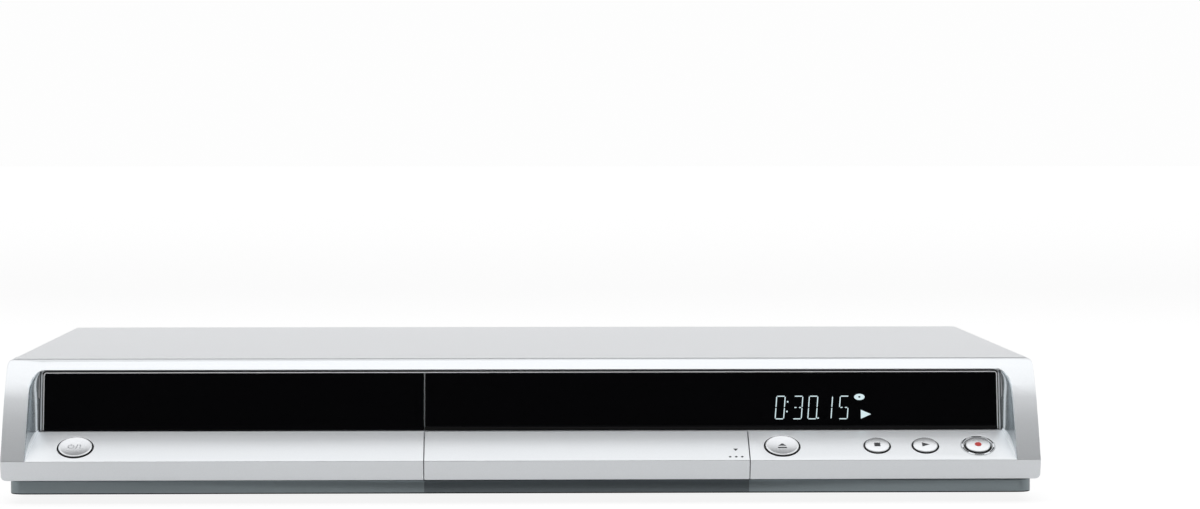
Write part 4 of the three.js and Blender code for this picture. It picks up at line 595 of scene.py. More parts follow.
def threaded(name, radius, length, turns, look):
    """A screw thread along Y from the origin: a round profile swept along a helix, in millimetres."""
    tree, start, names = geometry_tree("thread_along_y", Turns="Float", Radius="Float", Length="Float",
                                       Depth="Float", Steps="Int", Look="Material")
    line = add(tree, "GeometryNodeCurvePrimitiveLine", None, Start=(0, 0, 0), End=(0, 1, 0))
    points = add(tree, "GeometryNodeResampleCurve", None, Curve=line.outputs["Curve"],
                 Count=product(tree, start["Turns"], start["Steps"]))
    along = add(tree, "GeometryNodeSplineParameter").outputs["Factor"]
    angle = product(tree, product(tree, along, start["Turns"]), 2 * math.pi)
    x, z = (product(tree, math_node(tree, wave, angle), start["Radius"]) for wave in ("COSINE", "SINE"))
    y = product(tree, along, start["Length"])
    place = add(tree, "ShaderNodeCombineXYZ", None, X=x, Y=y, Z=z).outputs[0]
    helix = add(tree, "GeometryNodeSetPosition", None, Geometry=points.outputs["Curve"], Position=place)
    profile = add(tree, "GeometryNodeCurvePrimitiveCircle", None, Resolution=6)
    tree.links.new(start["Depth"], profile.inputs["Radius"])
    sweep = add(tree, "GeometryNodeCurveToMesh", None, Curve=helix.outputs["Geometry"], Fill_Caps=True)
    tree.links.new(profile.outputs["Curve"], sweep.inputs["Profile Curve"])
    finished_tree(tree, sweep.outputs["Mesh"], start["Look"])
    return grown(name, bpy.data.meshes.new(name + "_empty"), tree, names, Turns=float(turns),
                 Radius=radius * MM, Length=length * MM, Depth=0.28 * MM, Steps=20, Look=LOOKS[look])


# The fascia, its trim and the window
CHEEK_EDGE = [(0, 18.05), (4.4, 26), (9, 34), (14.4, 43), (18, 47.9), (21.2, 51.5), (24, 54.35)]
HOLLOW_BACK = 201
NEAR_FRONT_Y = -0.12


def cheek_hollows():
    """Two hollow curves that turn the recess's flared sides from the cheeks to the window's plane."""
    low, high, levels, steps = 18.1, 54.3, 30, 10
    widest, round_low, round_high, round_in = 205, 46.35, 8, 6
    glass_gap, lead, shallow, shallow_start, skirt = 0.3, 0.5, 0.8, 0.6, 0.6

    def edge_depth(z):
        for (d0, z0), (d1, z1) in zip(CHEEK_EDGE, CHEEK_EDGE[1:]):
            if z <= z1:
                return d0 + (d1 - d0) * (z - z0) / (z1 - z0)
        return CHEEK_EDGE[-1][0]

    def plan(z):
        rise = min(max((z - round_low) / round_high, 0), 1)
        half = widest - round_in * (1 - math.cos(math.asin(rise)))
        edge = edge_depth(z)
        back = glass_depth(max(z, WINDOW["bottom"])) - glass_gap
        start = lead / (back - edge) if back - edge > shallow else shallow_start
        x0, y0 = half + (HOLLOW_BACK - half) * start, edge + (back - edge) * start
        curve = [(HOLLOW_BACK + (x0 - HOLLOW_BACK) * math.cos(t), y0 + (back - y0) * math.sin(t))
                 for t in [math.pi / 2 * i / steps for i in range(steps + 1)]]
        return curve + [(HOLLOW_BACK - skirt, back), (min(x0, HOLLOW_BACK) - skirt, y0)]

    def build(shape):
        loft(shape, [[shape.verts.new((x * MM, FRONT_Y + y * MM, z * MM)) for x, y in plan(z)]
                     for z in [low + (high - low) * i / levels for i in range(levels + 1)]])
        up = Vector((0, -math.sin(SHELF_ANGLE), math.cos(SHELF_ANGLE)))
        over_shelf = Vector((0, FRONT_Y, LIP_TOP)) + up * 0.03 * MM
        cut = bmesh.ops.bisect_plane(shape, geom=shape.verts[:] + shape.edges[:] + shape.faces[:], dist=1e-9,
                                     plane_co=over_shelf, plane_no=up, clear_inner=True)
        rim = [edge for edge in cut["geom_cut"] if isinstance(edge, bmesh.types.BMEdge)]
        bmesh.ops.holes_fill(shape, edges=rim)
        bmesh.ops.triangulate(shape, faces=[face for face in shape.faces if len(face.verts) > 3])

    right = mesh_from("cheek_hollow", build)
    left = moved(right.copy(), Matrix.Diagonal((-1, 1, 1, 1)))
    left.flip_normals()
    return joined_mesh("cheek_hollows", [right, left])


def rounded_brow(place):
    """Lowers the last step of the brow a little, so that it rolls over into the top."""
    brow_low, top_start, most, step_depth, reach = 56.5, 33, 0.36, 29.7, 1.1
    depth = (place.y - FRONT_Y) / MM
    if place.z < brow_low * MM or depth > top_start:
        return place
    drop = most * math.exp(-((depth - step_depth) / reach) ** 2)
    return place - Vector((0, 0, drop * MM))


def fascia_finishes(fascia):
    """Painted shade on the walls of the key holes, and a painted highlight in the hollows: a more mirror-like
    copy of the silver.
    """
    wide_hole, narrow_hole, key_reach, below_shelf = 7.66, 5.76, 8, 0.2
    inner, outer, lowest, sideways = 200.9, 205.2, 18.3, 0.15
    for key, x in KEYS.items():
        hole = wide_hole if key in ("power", "open_close") else narrow_hole
        to_key = shelf_place(x).inverted()
        for face in fascia.data.polygons:
            if abs(face.center.x - x * MM) < key_reach * MM and face.center.y < NEAR_FRONT_Y:
                spot = to_key @ face.center
                if math.hypot(spot.x, spot.y) < hole * MM and spot.z < -below_shelf * MM:
                    # Painted shade: hole walls below the shelf take the near-black shade material
                    face.material_index = 1
    # Painted highlight: the hollow walls take the more mirror-like copy of the silver
    for face in fascia.data.polygons:
        x, facing = face.center.x, face.normal.x
        beside = inner * MM < abs(x) < outer * MM and face.center.z > lowest * MM
        if beside and face.center.y < NEAR_FRONT_Y and facing * x < 0 and abs(facing) > sideways:
            face.material_index = 2


def front_pieces():
    fascia_finishes(soft_piece("front_fascia", "fascia_shell", 0.25, "cabinet", "silver_plastic",
                               "silver_front gap_black silver_hollow", whole_under=60, shaped=rounded_brow,
                               hollow=cheek_hollows()))
    soft_piece("jack_flap", "flap_plate", 0.3, "flap", "silver_plastic", "silver_front")
    trim_end = 200 * MM
    trim = softened("window_trim", "trim_frame", 0.12)
    split_at(trim, [-trim_end, trim_end])
    trim_piece = new_piece("trim_frame", trim, "cabinet", "gap_black side_silver",
                           ["window_trim"])
    # Painted shadow: the trim's top bar takes the near-black shade material, for the gap under the brow; the
    # side bars are silver
    for face in trim_piece.data.polygons:
        face.material_index = int(abs(face.center.x) > trim_end)
    window_bead()
    flap_low, flap_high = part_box("jack_flap")
    shade_inset, underside_top, shade_back = 2.65 * MM, 4.42 * MM, -0.13
    ends = [flap_low[0] + shade_inset, flap_high[0] - shade_inset]
    moulding = softened("base_band", "band_moulding", 0.5)
    split_at(moulding, ends)
    band = new_piece("band_moulding", moulding, "cabinet", "band_grey gap_black band_dark",
                     ["base_band"])
    # Painted shade: the band's downward bevel takes the near-black shade material, and its front under the
    # flap the darker grey, for the shadow of the flap's lip
    for face in band.data.polygons:
        shaded_underside = face.center.z < underside_top and face.normal.z < -0.1
        under_flap = ends[0] < face.center.x < ends[1] and face.center.y < shade_back
        face.material_index = 1 if shaded_underside else 2 if under_flap else 0
    soft_piece("display_window", "window_panel", 0.15, "cabinet", "black_gloss", "window_black")
    soft_piece("tray_cover", "tray_panel", 0.45, "tray", "black_gloss", "window_black")


def window_bead():
    """The bead round the top and the sides of the glass, just outside its edges, in a near-white matt finish
    that paints its highlight.
    """
    half, low, high, radius, bead_half = 199.41, 29.6, 53.13, 1.1, 0.18
    path = [(half, low, 1, 0)]
    for turn in [math.radians(9 * i) for i in range(11)]:
        nx, ny = math.cos(turn), math.sin(turn)
        path.append((half - radius + radius * nx, high - radius + radius * ny, nx, ny))
    path += [(-x, y, -nx, ny) for x, y, nx, ny in path[::-1]]
    rise = WINDOW["top"] - WINDOW["bottom"]
    stretch = math.hypot(rise, WINDOW["top_depth"] - WINDOW["bottom_depth"]) / rise
    path = [(x, (y - WINDOW["bottom"]) * stretch, nx, ny) for x, y, nx, ny in path]
    profile = [(bead_half, -0.3)] + arc(0, 0.34, bead_half, 0, 180, 9) + [(-bead_half, -0.3)]
    bead = moved(mesh_from("glass_bead", lambda shape: loft(shape, [
        [shape.verts.new(((x + nx * out) * MM, (y + ny * out) * MM, height * MM)) for out, height in profile]
        for x, y, nx, ny in path])), window_place(WINDOW["bottom"]))
    smooth_by_angle(bead, 50)
    new_piece("glass_bead", bead, "cabinet", "bead_painted_highlight")


# The display: slanted seven-segment digits, a disc sign and a play sign
SEGMENTS = {"0": "abcdef", "1": "bc", "3": "abcdg", "5": "acdfg"}


def digit_outlines(sign, left, bottom):
    """The bars of one digit, each pointed where it meets the next."""
    width, height, half_stroke, slant, gap = 3.55, 9.55, 0.2, 0.085, 0.14
    half = height / 2

    def bar(x0, y0, x1, y1):
        length = math.hypot(x1 - x0, y1 - y0)
        ux, uy = (x1 - x0) / length, (y1 - y0) / length
        x0, y0, x1, y1 = x0 + ux * gap, y0 + uy * gap, x1 - ux * gap, y1 - uy * gap
        dx, dy = ux * half_stroke, uy * half_stroke
        points = [(x0, y0), (x0 + dx + dy, y0 + dy - dx), (x1 - dx + dy, y1 - dy - dx), (x1, y1),
                  (x1 - dx - dy, y1 - dy + dx), (x0 + dx - dy, y0 + dy + dx)]
        return [(left + x + slant * y, bottom + y) for x, y in points]

    spots = {"a": (0, height, width, height), "b": (width, half, width, height), "c": (width, 0, width, half),
             "d": (0, 0, width, 0), "e": (0, 0, 0, half), "f": (0, half, 0, height)}
    outlines = [bar(*spots[letter]) for letter in SEGMENTS[sign] if letter in spots]
    if "g" in SEGMENTS[sign]:
        outlines += [bar(0.1, half, width * 0.42, half), bar(width * 0.58, half, width - 0.1, half)]
    return outlines


def display_signs():
    """The lit signs, on the window's face; x runs from the object's middle and y up the glass."""
    middle, low, thickness = 35.0, 33.65, 0.05
    lift = low - middle
    signs = []
    for sign, left in [("0", 106.0), ("3", 113.4), ("0", 119.7), ("1", 125.9), ("5", 132.7)]:
        signs += digit_outlines(sign, left, lift)
    for radius, x, y in [(0.36, 111.0, 3.1), (0.36, 111.35, 7.2), (0.34, 124.0, 0.3)]:
        signs.append(disc_outline(radius, x, lift + y, 12))
    signs.append([(142, lift), (146.3, lift + 1.9), (142, lift + 3.8)])
    rims = [disc_outline(2.2, 0, 0, 36, 0.6), disc_outline(0.5, 0, 0, 36, 0.72)]

    def disc_sign(shape):
        outer_low, inner_low, outer_high, inner_high = (
            [shape.verts.new(((141.5 + x) * MM, (lift + 9.2 + y) * MM, level * MM)) for x, y in outline]
            for level in (0.0, thickness) for outline in rims)
        pairs = [(outer_low, inner_low), (inner_high, outer_high), (outer_high, outer_low),
                 (inner_low, inner_high)]
        for i in range(len(outer_low)):
            j = (i + 1) % len(outer_low)
            for a, b in pairs:
                shape.faces.new([a[i], a[j], b[j], b[i]])

    lit = joined_mesh("display_signs", [moved(mesh, window_place(middle)) for mesh in
                                        (plates(signs, thickness), mesh_from("disc_sign", disc_sign))])
    new_piece("display_signs", lit, "cabinet", "lit_segment")


# Keys and the signs on the shelf
def key_profile(radius, proud, domed):
    foot = [(0, -3.8), (1.45, -3.8), (1.6, -3.65), (1.6, -3.5), (radius + 0.85, -3.5), (radius + 1, -3.35),
            (radius + 1, -2.65), (radius + 0.85, -2.5), (radius, -2.5)]
    if domed:
        shoulder = arc(radius - 0.3, proud - 0.62, 0.3, 0, 62, 4)
        edge_radius, edge_height = shoulder[-1]
        crown = [(edge_radius * math.cos(turn), edge_height + (proud - edge_height) * math.sin(turn))
                 for turn in [i * math.pi / 16 for i in range(1, 8)]]
        return foot + shoulder + crown + [(0, proud)]
    rim = arc(radius - 0.28, proud - 0.28, 0.28, 0, 90, 5)
    return foot + rim + [(radius - 0.75, proud), (radius - 0.95, proud - 0.05), (0, proud - 0.05)]


def key_piece(key, radius, proud, domed):
    cap = moved(lathe(key_profile(radius, proud, domed), 72), shelf_place(KEYS[key]))
    smooth_by_angle(cap, 38)
    axis = shelf_place(0).to_3x3() @ Vector((0, 0, 1))
    piece = new_piece(f"{key}_cap", cap, f"{key}_key", "key_silver gap_black",
                      [f"{key}_button"])
    # Painted shade: the caps' upright sides take the near-black shade material, for the shade in the gap
    # round each key
    for face in piece.data.polygons:
        face.material_index = int(abs(face.normal.dot(axis)) < 0.2)


def upright_box(left, low, right, high):
    return [(left, low), (right, low), (right, high), (left, high)]


def key_signs():
    """Signs printed on the caps."""
    print_thickness, flat_face, domed_face = 0.03, 0.45, 0.89

    def on_key(key, outlines, face, look):
        mesh = moved(plates(outlines, print_thickness, face), shelf_place(KEYS[key]))
        new_piece(f"{key}_sign_{look}", mesh, f"{key}_key", look)

    standby = [ring_outline(1.35, 0.32, 125, 415, 26), upright_box(-0.16, 0.3, 0.16, 1.75)]
    standby = [[(x - 1.7, y) for x, y in outline] for outline in standby]
    slash = [[(0.05, -1.5), (0.35, -1.5), (1.15, 1.5), (0.85, 1.5)], upright_box(1.9, -1.3, 2.2, 1.3)]
    eject = [[(-1.65, -0.5), (1.65, -0.5), (0, 1.25)], upright_box(-1.8, -2.2, 1.8, -1.35)]
    on_key("power", standby + slash, flat_face, "sign_pale")
    on_key("open_close", eject, flat_face, "sign_dark")
    on_key("stop", [upright_box(-1.25, -1.65, 1.25, 0.85)], domed_face, "sign_dark")
    on_key("play", [[(-1.4, -1.8), (1.8, -0.4), (-1.4, 1.0)]], domed_face, "sign_dark")
    on_key("rec", [disc_outline(1.45, 0, -0.35, 32)], domed_face, "sign_red")


def shelf_signs():
    """The mark on the flap and the slotted ring round the record key."""
    outlines = [[(-1.0, 0.85), (0, -0.85), (1.0, 0.85)]]
    outlines += [disc_outline(0.55, x, -4.9, 18) for x in (-2.5, 0, 2.5)]
    mark = moved(plates(outlines, 0.03, -0.004), shelf_place(88.56, 7.43 * MM))
    new_piece("flap_mark", mark, "flap", "sign_dark")
    ring = lathe([(5.85, -0.66), (7.0, -0.66), (7.0, -0.12)] + arc(6.86, -0.1, 0.14, 0, 90, 4)
                 + [(6.1, 0.04), (5.85, -0.2)], 72, 38)
    slots = plates([ring_outline(6.78, 0.5, 60 * i + 12, 60 * i + 48, 10) for i in range(6)], 0.03, 0.035)
    for name, mesh, slot, look in [("record_ring", ring, "silver_plastic", "silver_front"),
                                   ("record_ring_slots", slots, "dark_plastic", "sign_dark")]:
        new_piece(name, moved(mesh, shelf_place(KEYS["rec"])), "cabinet", look)


# Screws
def cross_screw(radius, height, shank_radius, shank):
    """A pan head with a cross recess, its head's seat at z 0."""
    head = [(0, -shank), (shank_radius * 0.7, -shank), (shank_radius, -shank + 0.4), (shank_radius, 0),
            (radius * 0.97, 0), (radius, 0.12), (radius, height * 0.35)]
    head += [(radius * math.cos(turn), height * (0.35 + 0.65 * math.sin(turn)))
             for turn in [i * math.pi / 14 for i in range(1, 5)]]
    head += [(radius * 0.3, height), (0, height)]
    wing, slot = radius * 0.58, radius * 0.115

    def cross(shape):
        for long_x, long_y in [(wing, slot), (slot, wing)]:
            for vert in bmesh.ops.create_cube(shape, size=1.0)["verts"]:
                share_x, share_y, level = (1.0, 1.15, 1.4) if vert.co.z > 0 else (0.55, 0.8, 0.3)
                x, y = vert.co.x * 2 * long_x * share_x, vert.co.y * 2 * long_y * share_y
                vert.co = Vector((x * MM, y * MM, height * level * MM))

    mesh = carved(lathe(head, 28), mesh_from("screw_cross", cross), solver="EXACT", use_self=True)
    smooth_by_angle(mesh, 35)
    return mesh


def screw_pieces():
    side = cross_screw(3.9, 1.8, 1.9, 4.5)
    seats = [((sign * 214.1, y, 16), (0, 90 * sign, 0)) for sign in (-1, 1) for y in (-60, 112)]
    repeated_piece("cover_screws", side, seats, "cabinet", "screw_steel",
                   [f"side_screw_{i}" for i in range(1, 5)])
    small = cross_screw(2.8, 1.5, 1.3, 2.5)
    rear_seat, base_seat = 138.02, 3.98
    spots = [(-206, 11), (-206, 51), (206, 11), (206, 51), (-141, 10), (-84, 52), (-84, 11), (-36, 46),
             (18, 11), (18, 52), (102, 11), (102, 52), (160, 40)]
    spots += [(60 + dx, 34 + dz) for dx in (-16, 16) for dz in (-16, 16)]
    repeated_piece("rear_screws", small, [((x, rear_seat, z), (-90, 0, 0)) for x, z in spots], "cabinet",
                   "screw_steel")
    corners = [((-199, -15), (81, 129)), ((-29, 77), (-85, 63)), ((99, 198), (-53, 105)),
               ((-190, -50), (-112, 62))]
    below = [(x, y) for columns, rows in corners for y in rows for x in columns]
    repeated_piece("base_screws", small, [((x, y, base_seat), (180, 0, 0)) for x, y in below], "cabinet",
                   "screw_steel")


# Cover, chassis, feet
def casing_pieces():
    soft_piece("top_cover", "cover_shell", 0.14, "cabinet", "silver_paint", "silver_cover")
    soft_piece("bottom_chassis", "base_pan", 0.12, "cabinet", "zinc_steel", "zinc_sheet")
    foot = lathe([(0, 0.9), (3.2, 0.9), (3.6, 0.5), (3.6, 0.0), (11.6, 0.0)] + arc(11.6, 1.3, 1.3, -90, 0, 5)
                 + [(13, 2.6)] + arc(12.6, 2.6, 0.4, 0, 45, 2) + [(11, 4.0), (0, 4.0)], 64, 35)
    places = [((sign * 165, y, 0), (0, 0, 0)) for sign in (-1, 1) for y in (-84, 105)]
    repeated_piece("rubber_feet", foot, places, "cabinet", "foot_rubber",
                   ["front_left_foot", "front_right_foot", "rear_left_foot", "rear_right_foot"])


# Round sockets
BACKWARD, FORWARD = (-90, 0, 0), (90, 0, 0)
SOCKET_ROOT, REAR_FACE = 136.6, 138.03
ROWS = {"red": 21.5, "white": 34.5, "yellow": 47.5, "blue": 34.5, "green": 47.5}


def sleeve_lathe(outer, length, bore, bore_depth, lead=0.35, sides=40):
    """A sleeve that is open at its end: outer radius, length, bore radius and depth, in millimetres."""
    floor = length - bore_depth
    rim = arc(outer - lead, length - lead, lead, 0, 90, 4)[1:]
    mouth = [(bore + 0.2, length), (bore, length - 0.2), (bore, floor), (0, floor)]
    return lathe([(0, 0), (outer, 0), (outer, length - lead)] + rim + mouth, sides, 35)


def socket_set(name, groups, outer, length, turn, root):
    """Plated sleeves with coloured inserts; groups maps a colour to (x, z) places, root is their Y."""
    def standing(places):
        return [((x, root, z), turn) for x, z in places]

    sleeves = [place for places in groups.values() for place in standing(places)]
    sleeve = sleeve_lathe(outer, length, outer - 0.75, 3.2)
    repeated_piece(name + "_sleeves", sleeve, sleeves, "cabinet", "nickel_ring")
    insert = sleeve_lathe(outer - 0.78, length - 0.7, 1.6, 5.0, 0.15, 32)
    for colour, places in groups.items():
        repeated_piece(f"{name}_{colour}_inserts", insert, standing(places), "cabinet",
                       f"socket_{colour}")


def bevelled_box(low, high, bevel, name):
    """A box between two corners in millimetres with rounded edges."""
    def build(shape):
        bmesh.ops.create_cube(shape, size=1.0)
        for vert in shape.verts:
            vert.co = Vector([(low[k] + (high[k] - low[k]) * (vert.co[k] + 0.5)) * MM for k in range(3)])
        bmesh.ops.bevel(shape, geom=list(shape.edges), offset=bevel * MM, segments=3, profile=0.5,
                        affect="EDGES")
    mesh = mesh_from(name, build)
    smooth_by_angle(mesh, 40)
    return mesh


def rear_pieces():
    soft_piece("rear_panel", "rear_plate", 0.1, "cabinet", "zinc_steel", "zinc_sheet")
    av = {colour: [(x, ROWS[colour]) for x in (-130, -114, -98)] for colour in ("red", "white", "yellow")}
    component = {colour: [(-70, ROWS[colour])] for colour in ("red", "blue", "green")}
    block_back, block_low, block_high = 124.7, 14.9, 53.9
    for name, left, right, node, kind, groups in [
            ("av_block", -136.4, -91.6, "rear_av_jacks", "av", av),
            ("video_block", -76.4, -45.6, "rear_video_jacks", "component", component)]:
        block = bevelled_box((left, block_back, block_low), (right, SOCKET_ROOT + 0.1, block_high), 0.5, name)
        new_piece(name, block, "cabinet", "dark_plastic", [node])
        socket_set(kind, groups, 4.15, 10.4, BACKWARD, SOCKET_ROOT)
    collar = lathe([(4.25, 0), (5.5, 0), (5.5, 0.7)] + arc(5.25, 0.7, 0.25, 0, 90, 3)[1:] + [(4.25, 0.95)],
                   40, 40)
    for colour in ("red", "white", "yellow", "blue", "green"):
        places = [((x, REAR_FACE, z), BACKWARD) for x, z in av.get(colour, []) + component.get(colour, [])]
        repeated_piece(f"{colour}_collars", collar, places, "cabinet",
                       f"socket_{colour}")
    middle_x, middles_z, pin_circle = -52, (25, 44), 1.9
    socket = lathe([(0, 0), (5.9, 0), (5.9, 4.6)] + arc(5.6, 4.6, 0.3, 0, 90, 4)[1:]
                   + [(4.6, 4.9), (4.5, 4.8), (4.5, 1.6), (0, 1.6)], 48, 35)
    repeated_piece("round_sockets", socket, [((middle_x, SOCKET_ROOT, z), BACKWARD) for z in middles_z],
                   "cabinet", "dark_plastic")
    pin_hole = lathe([(0, 0), (0.55, 0), (0.55, 0.12), (0, 0.12)], 14)
    turns = [math.radians(angle) for angle in (35, 145, 215, 325)]
    pins = [(pin_circle * math.cos(turn), pin_circle * math.sin(turn)) for turn in turns]
    holes = [((middle_x + dx, REAR_FACE + 0.12, z + dz), BACKWARD) for z in middles_z for dx, dz in pins]
    repeated_piece("round_socket_pins", pin_hole, holes, "cabinet", "nickel_ring")
    antenna_pieces()
    soft_piece("ac_inlet", "inlet_body", 0.2, "cabinet", "dark_plastic", "dark_plastic")
    pin = lathe([(0, 0), (1.24, 0), (1.24, 12.2)] + arc(0.74, 12.2, 0.5, 0, 90, 4)[1:] + [(0, 12.7)], 24, 35)
    places = [((184 + side * 4.25, 126.0, 26), BACKWARD) for side in (-1, 1)]
    repeated_piece("inlet_pins", pin, places, "cabinet", "nickel_ring")


def antenna_pieces():
    can_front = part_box("tuner_box")[0][1] / MM
    can = bevelled_box((-203, can_front, 14.9), (-148, 136.7, 52), 0.4, "tuner_can")
    new_piece("tuner_can", can, "cabinet", "zinc_sheet", ["tuner_box"])
    core, crest, pitch = 4.2, 4.6, 0.78
    ridges = [(0, 0), (5.4, 0), (5.4, 1.4), (core, 1.5)]
    for i in range(9):
        ridges += [(core, 1.6 + i * pitch), (crest, 1.95 + i * pitch), (core, 2.3 + i * pitch)]
    ridges += [(core, 9.1), (3.7, 9.5), (1.5, 9.5), (1.3, 9.3), (1.3, 4.0), (0, 4.0)]
    places = [((-176, 137.4, z), BACKWARD) for z in (24, 43)]
    repeated_piece("antenna_posts", lathe(ridges, 40, 30), places, "cabinet", "nickel_ring")


# Jack bay behind the flap
def jack_bay_pieces():
    soft_piece("jack_bay", "bay_shell", 0.15, "cabinet", "dark_plastic", "dark_plastic")
    middle_z, half, board_face = 18.4, 4.3, -122.3
    jacks = {}
    for colour, node in [("yellow", "front_video_jack"), ("white", "front_left_audio_jack"),
                         ("red", "front_right_audio_jack")]:
        low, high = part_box(node)
        x = (low[0] + high[0]) / 2 / MM
        jacks[colour] = [(x, middle_z)]
        block = bevelled_box((x - half, -128.1, middle_z - half), (x + half, board_face, middle_z + half),
                             0.3, f"front_{colour}_block")
        collar = lathe([(0, 0), (4, 0), (4, 2.9)] + arc(3.75, 2.9, 0.25, 0, 90, 3)[1:] + [(0, 3.15)], 40)
        collar = moved(collar, at(x, -128.0, middle_z) @ turned(90))
        smooth_by_angle(collar, 40)
        new_piece(f"front_{colour}_socket", joined_mesh("socket", [block, collar]), "cabinet",
                  f"socket_{colour}", [node])
    socket_set("front", jacks, 3.3, 2.25, FORWARD, -131.1)


# The disc drive
def drive_pieces():
    soft_piece("disc_tray", "tray_moulding", 0.22, "tray", "dark_plastic", "tray_plastic")
    soft_piece("drive_chassis", "drive_frame", 0.15, "cabinet", "dark_plastic", "dark_plastic")
    soft_piece("clamper_bridge", "clamp_bridge", 0.15, "cabinet", "zinc_steel", "zinc_sheet")
    puck = lathe([(0, 47.2), (15.6, 47.2), (16, 47.6), (16, 49.7), (15.7, 50), (10, 50), (10, 52.2),
                  (14.7, 52.2), (15, 52.5), (15, 53.6), (14.7, 53.9), (6, 53.9), (5.6, 53.4), (0, 53.4)],
                 64, 35)
    new_piece("clamp_puck", moved(puck, at(-120, -53, 0)), "clamper", "gear_white",
              ["clamper"])
    soft_piece("pickup_sled", "sled_body", 0.2, "sled", "dark_plastic", "dark_plastic")
    soft_piece("traverse_frame", "traverse_plate", 0.15, "traverse", "dark_plastic", "dark_plastic")
    tilt = at(-120, 35, 22.5) @ turned(4.6) @ at(0, -88, -22.5)
    table = lathe([(0, 36.3), (9, 36.3), (9, 40.6), (14.7, 40.6), (15, 40.9), (15, 42.7), (14.7, 43),
                   (9.2, 43), (9, 42.7), (7.5, 42.7), (7.3, 43), (7.3, 44.4), (6.9, 45), (4.8, 46.2),
                   (1.6, 46.2), (1.4, 45.9), (0, 45.9)], 64, 35)
    new_piece("disc_table", moved(table, tilt), "turntable", "dark_plastic", ["turntable"])
    pad = lathe([(9.6, 42.9), (14.3, 42.9), (14.3, 43.12), (9.6, 43.12)], 64)
    new_piece("disc_table_pad", moved(pad, tilt), "turntable", "foot_rubber")
    core = 1.2
    screw = threaded("sled_screw", core, 66, 11, "bright_steel")
    shaft = moved(lathe([(0, 0), (core, 0), (core, 72.9), (0, 72.9)], 24), turned(-90))
    smooth_by_angle(shaft, 35)
    whole = joined_mesh("sled_screw", [moved(shaft, at(0, -1.4, 0)), screw])
    new_piece("sled_screw", moved(whole, tilt @ at(30.5, 9.7, 28)), "lead_screw",
              "bright_steel", ["lead_screw"])


def fan_pieces():
    soft_piece("fan_frame", "fan_housing", 0.2, "cabinet", "dark_plastic", "dark_plastic")
    hub = lathe([(0, -1.4), (7.2, -1.4), (8, -2.0), (8, -7.6), (2.2, -7.6), (2.2, -1.9), (0, -1.9)], 48)
    hub = moved(hub, at(60, 136.7, 34) @ turned(-90))
    smooth_by_angle(hub, 35)
    blades, stations, root, reach = 7, 6, 7.4, 10.1
    root_pitch, pitch_loss, full_sweep = 48, 12, 26
    half_chord, camber, half_thickness = 2.9, 0.35, 0.28

    def blade(shape):
        rows = []
        for i in range(stations + 1):
            share = i / stations
            radius = (root + reach * share) * MM
            pitch = math.radians(root_pitch - pitch_loss * share)
            sweep = math.radians(full_sweep * share)
            row = []
            for side in (-1, 1):
                for edge in (-1, -0.5, 0, 0.5, 1):
                    chord = edge * side * half_chord * (0.8 + 0.2 * share) * MM
                    lift = (camber * (1 - edge * edge) + side * half_thickness * (1 - 0.8 * edge * edge)) * MM
                    y = chord * math.sin(pitch) + lift * math.cos(pitch)
                    angle = sweep + (chord * math.cos(pitch) - lift * math.sin(pitch)) / radius
                    row.append(shape.verts.new((radius * math.cos(angle), y, radius * math.sin(angle))))
            rows.append(row)
        loft(shape, rows)

    fin = mesh_from("fan_blade", blade)
    smooth_by_angle(fin, 40)
    places = [((60, 132.2, 34), (0, 360 * i / blades, 0)) for i in range(blades)]
    impeller = joined_mesh("fan_impeller", [hub, repeated("fan_blades", fin, places, "dark_plastic")])
    new_piece("fan_impeller", impeller, "fan_rotor", "dark_plastic", ["fan_rotor"])


# Finishes for the solids that stay as they are
def dress_remaining():
    for look, names in {
        "board_green": "left_key_board right_key_board front_jack_board front_board",
        "board_level": "main_board av_board power_board",
        "gear_white": "rack_gear pulley_gear motor_pulley drive_cable",
        "zinc_sheet": "loading_motor spindle_motor sled_motor",
        "bright_steel": "left_guide_rod right_guide_rod",
        "foot_rubber": "drive_belt",
        "fin_aluminium": "heat_sink",
        "copper_tape": "transformer",
        "window_black": "display_module",
    }.items():
        for name in names.split():
            materials = nodes[name].data.materials
            if not materials:
                materials.append(LOOKS[look])
            for index in range(len(materials)):
                materials[index] = LOOKS[look]


# Camera, light and floor
def camera():
    """The camera stands where the photograph was taken from; its aim is in pixels of the picture."""
    focal, right, down = 3959, 112.4, 127
    view = linked("camera", bpy.data.cameras.new("camera"))
    view.data.sensor_width, view.data.lens = 36.0, 118.77
    view.data.clip_start, view.data.clip_end = 0.05, 60
    view.location = (-0.0143, -1.779, 0.15565)
    view.rotation_euler = (math.pi / 2 - math.atan(down / focal), 0, -math.atan(right / focal))
    scene.camera = view


def white_room():
    """A white world that the object mirrors a little darker than the camera sees it."""
    ambient, seen, in_mirror = 0.68, 0.305, 0.26
    scene.world = bpy.data.worlds.new("white_room")
    scene.world.use_nodes = True
    tree = scene.world.node_tree
    light = tree.nodes["Background"]
    rays = add(tree, "ShaderNodeLightPath").outputs
    mirrored = math_node(tree, "MAXIMUM", rays["Is Glossy Ray"], rays["Is Transmission Ray"])
    levels = math_node(tree, "ADD", product(tree, rays["Is Camera Ray"], seen),
                       product(tree, mirrored, in_mirror))
    tree.links.new(math_node(tree, "ADD", levels, ambient), light.inputs["Strength"])
    light.inputs["Color"].default_value = (1, 1, 1, 1)


def soft_box(name, place, target, width, height, power):
    """An area light aimed at a target: its sides in metres, its power in watts."""
    lamp = bpy.data.lights.new(name, "AREA")
    lamp.shape = "RECTANGLE"
    lamp.size, lamp.size_y, lamp.energy = width, height, power
    holder = linked(name, lamp)
    holder.location = place
    holder.rotation_euler = (Vector(target) - Vector(place)).to_track_quat("-Z", "Y").to_euler()
    return holder


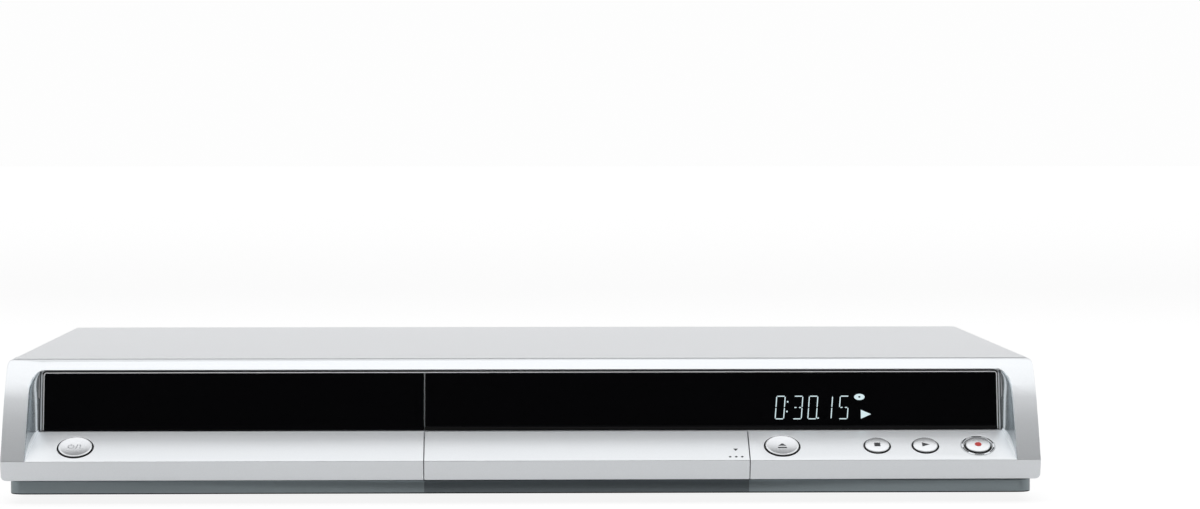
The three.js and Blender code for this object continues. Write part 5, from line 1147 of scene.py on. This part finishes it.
def flat_sheet(name, size, grey):
    """A flat matt sheet of the set; returns it with its material's nodes."""
    mesh = mesh_from(name, lambda shape: bmesh.ops.create_grid(shape, x_segments=1, y_segments=1, size=size))
    sheet = linked(name, mesh)
    paint = bpy.data.materials.new(name + "_paint")
    paint.use_nodes = True
    shader = paint.node_tree.nodes["Principled BSDF"]
    shader.inputs["Base Color"].default_value = (grey, grey, grey, 1)
    shader.inputs["Specular IOR Level"].default_value = 0.0
    mesh.materials.append(paint)
    return sheet, paint.node_tree, shader


def flag(name, place, width, height, tilt, grey):
    """A flag beside the set, out of the picture, that gives the metal something darker to mirror."""
    sheet, _, _ = flat_sheet(name, 1.0, grey)
    sheet.data.transform(Matrix.Translation(place) @ turned(tilt) @ Matrix.Diagonal((width, height, 1, 1)))
    sheet.visible_camera = False


def paper_floor():
    """White paper that glows a little for the camera and in reflections, and keeps the object's shadow."""
    glow_strength, seen, in_mirror = 1.15, 0.75, 0.3
    floor, tree, shader = flat_sheet("floor", 14, 0.86)
    shader.inputs["Roughness"].default_value = 0.9
    glow = add(tree, "ShaderNodeEmission", None, Color=(1, 1, 1, 1), Strength=glow_strength)
    rays = add(tree, "ShaderNodeLightPath").outputs
    share = math_node(tree, "ADD", product(tree, rays["Is Camera Ray"], seen),
                      product(tree, rays["Is Glossy Ray"], in_mirror))
    mix = add(tree, "ShaderNodeMixShader", None, _0=share, _1=shader.outputs[0], _2=glow.outputs[0])
    tree.links.new(mix.outputs[0], tree.nodes["Material Output"].inputs["Surface"])


# The set, then the pieces
scene.view_settings.view_transform = "Standard"
camera()
white_room()
soft_box("top_light", (0, 0, 1.7), (0, 0, 0), 2.6, 1.5, 6.4)
soft_box("front_light", (0, -1.5, 1.9), (0, -0.1, 0.03), 2.2, 1.0, 11.5).visible_glossy = False
flag("front_flag", (0, -3.0, 2.4), 4.5, 2.4, 90, 0.16)
flag("rear_flag", (0, 1.75, 1.3), 3.0, 0.75, 60, 0.3)
paper_floor()
front_pieces()
display_signs()
for key in ("power", "open_close"):
    key_piece(key, 7.0, 0.5, False)
for key in ("stop", "play", "rec"):
    key_piece(key, 5.2, 0.9, True)
key_signs()
shelf_signs()
screw_pieces()
casing_pieces()
rear_pieces()
jack_bay_pieces()
drive_pieces()
fan_pieces()
dress_remaining()
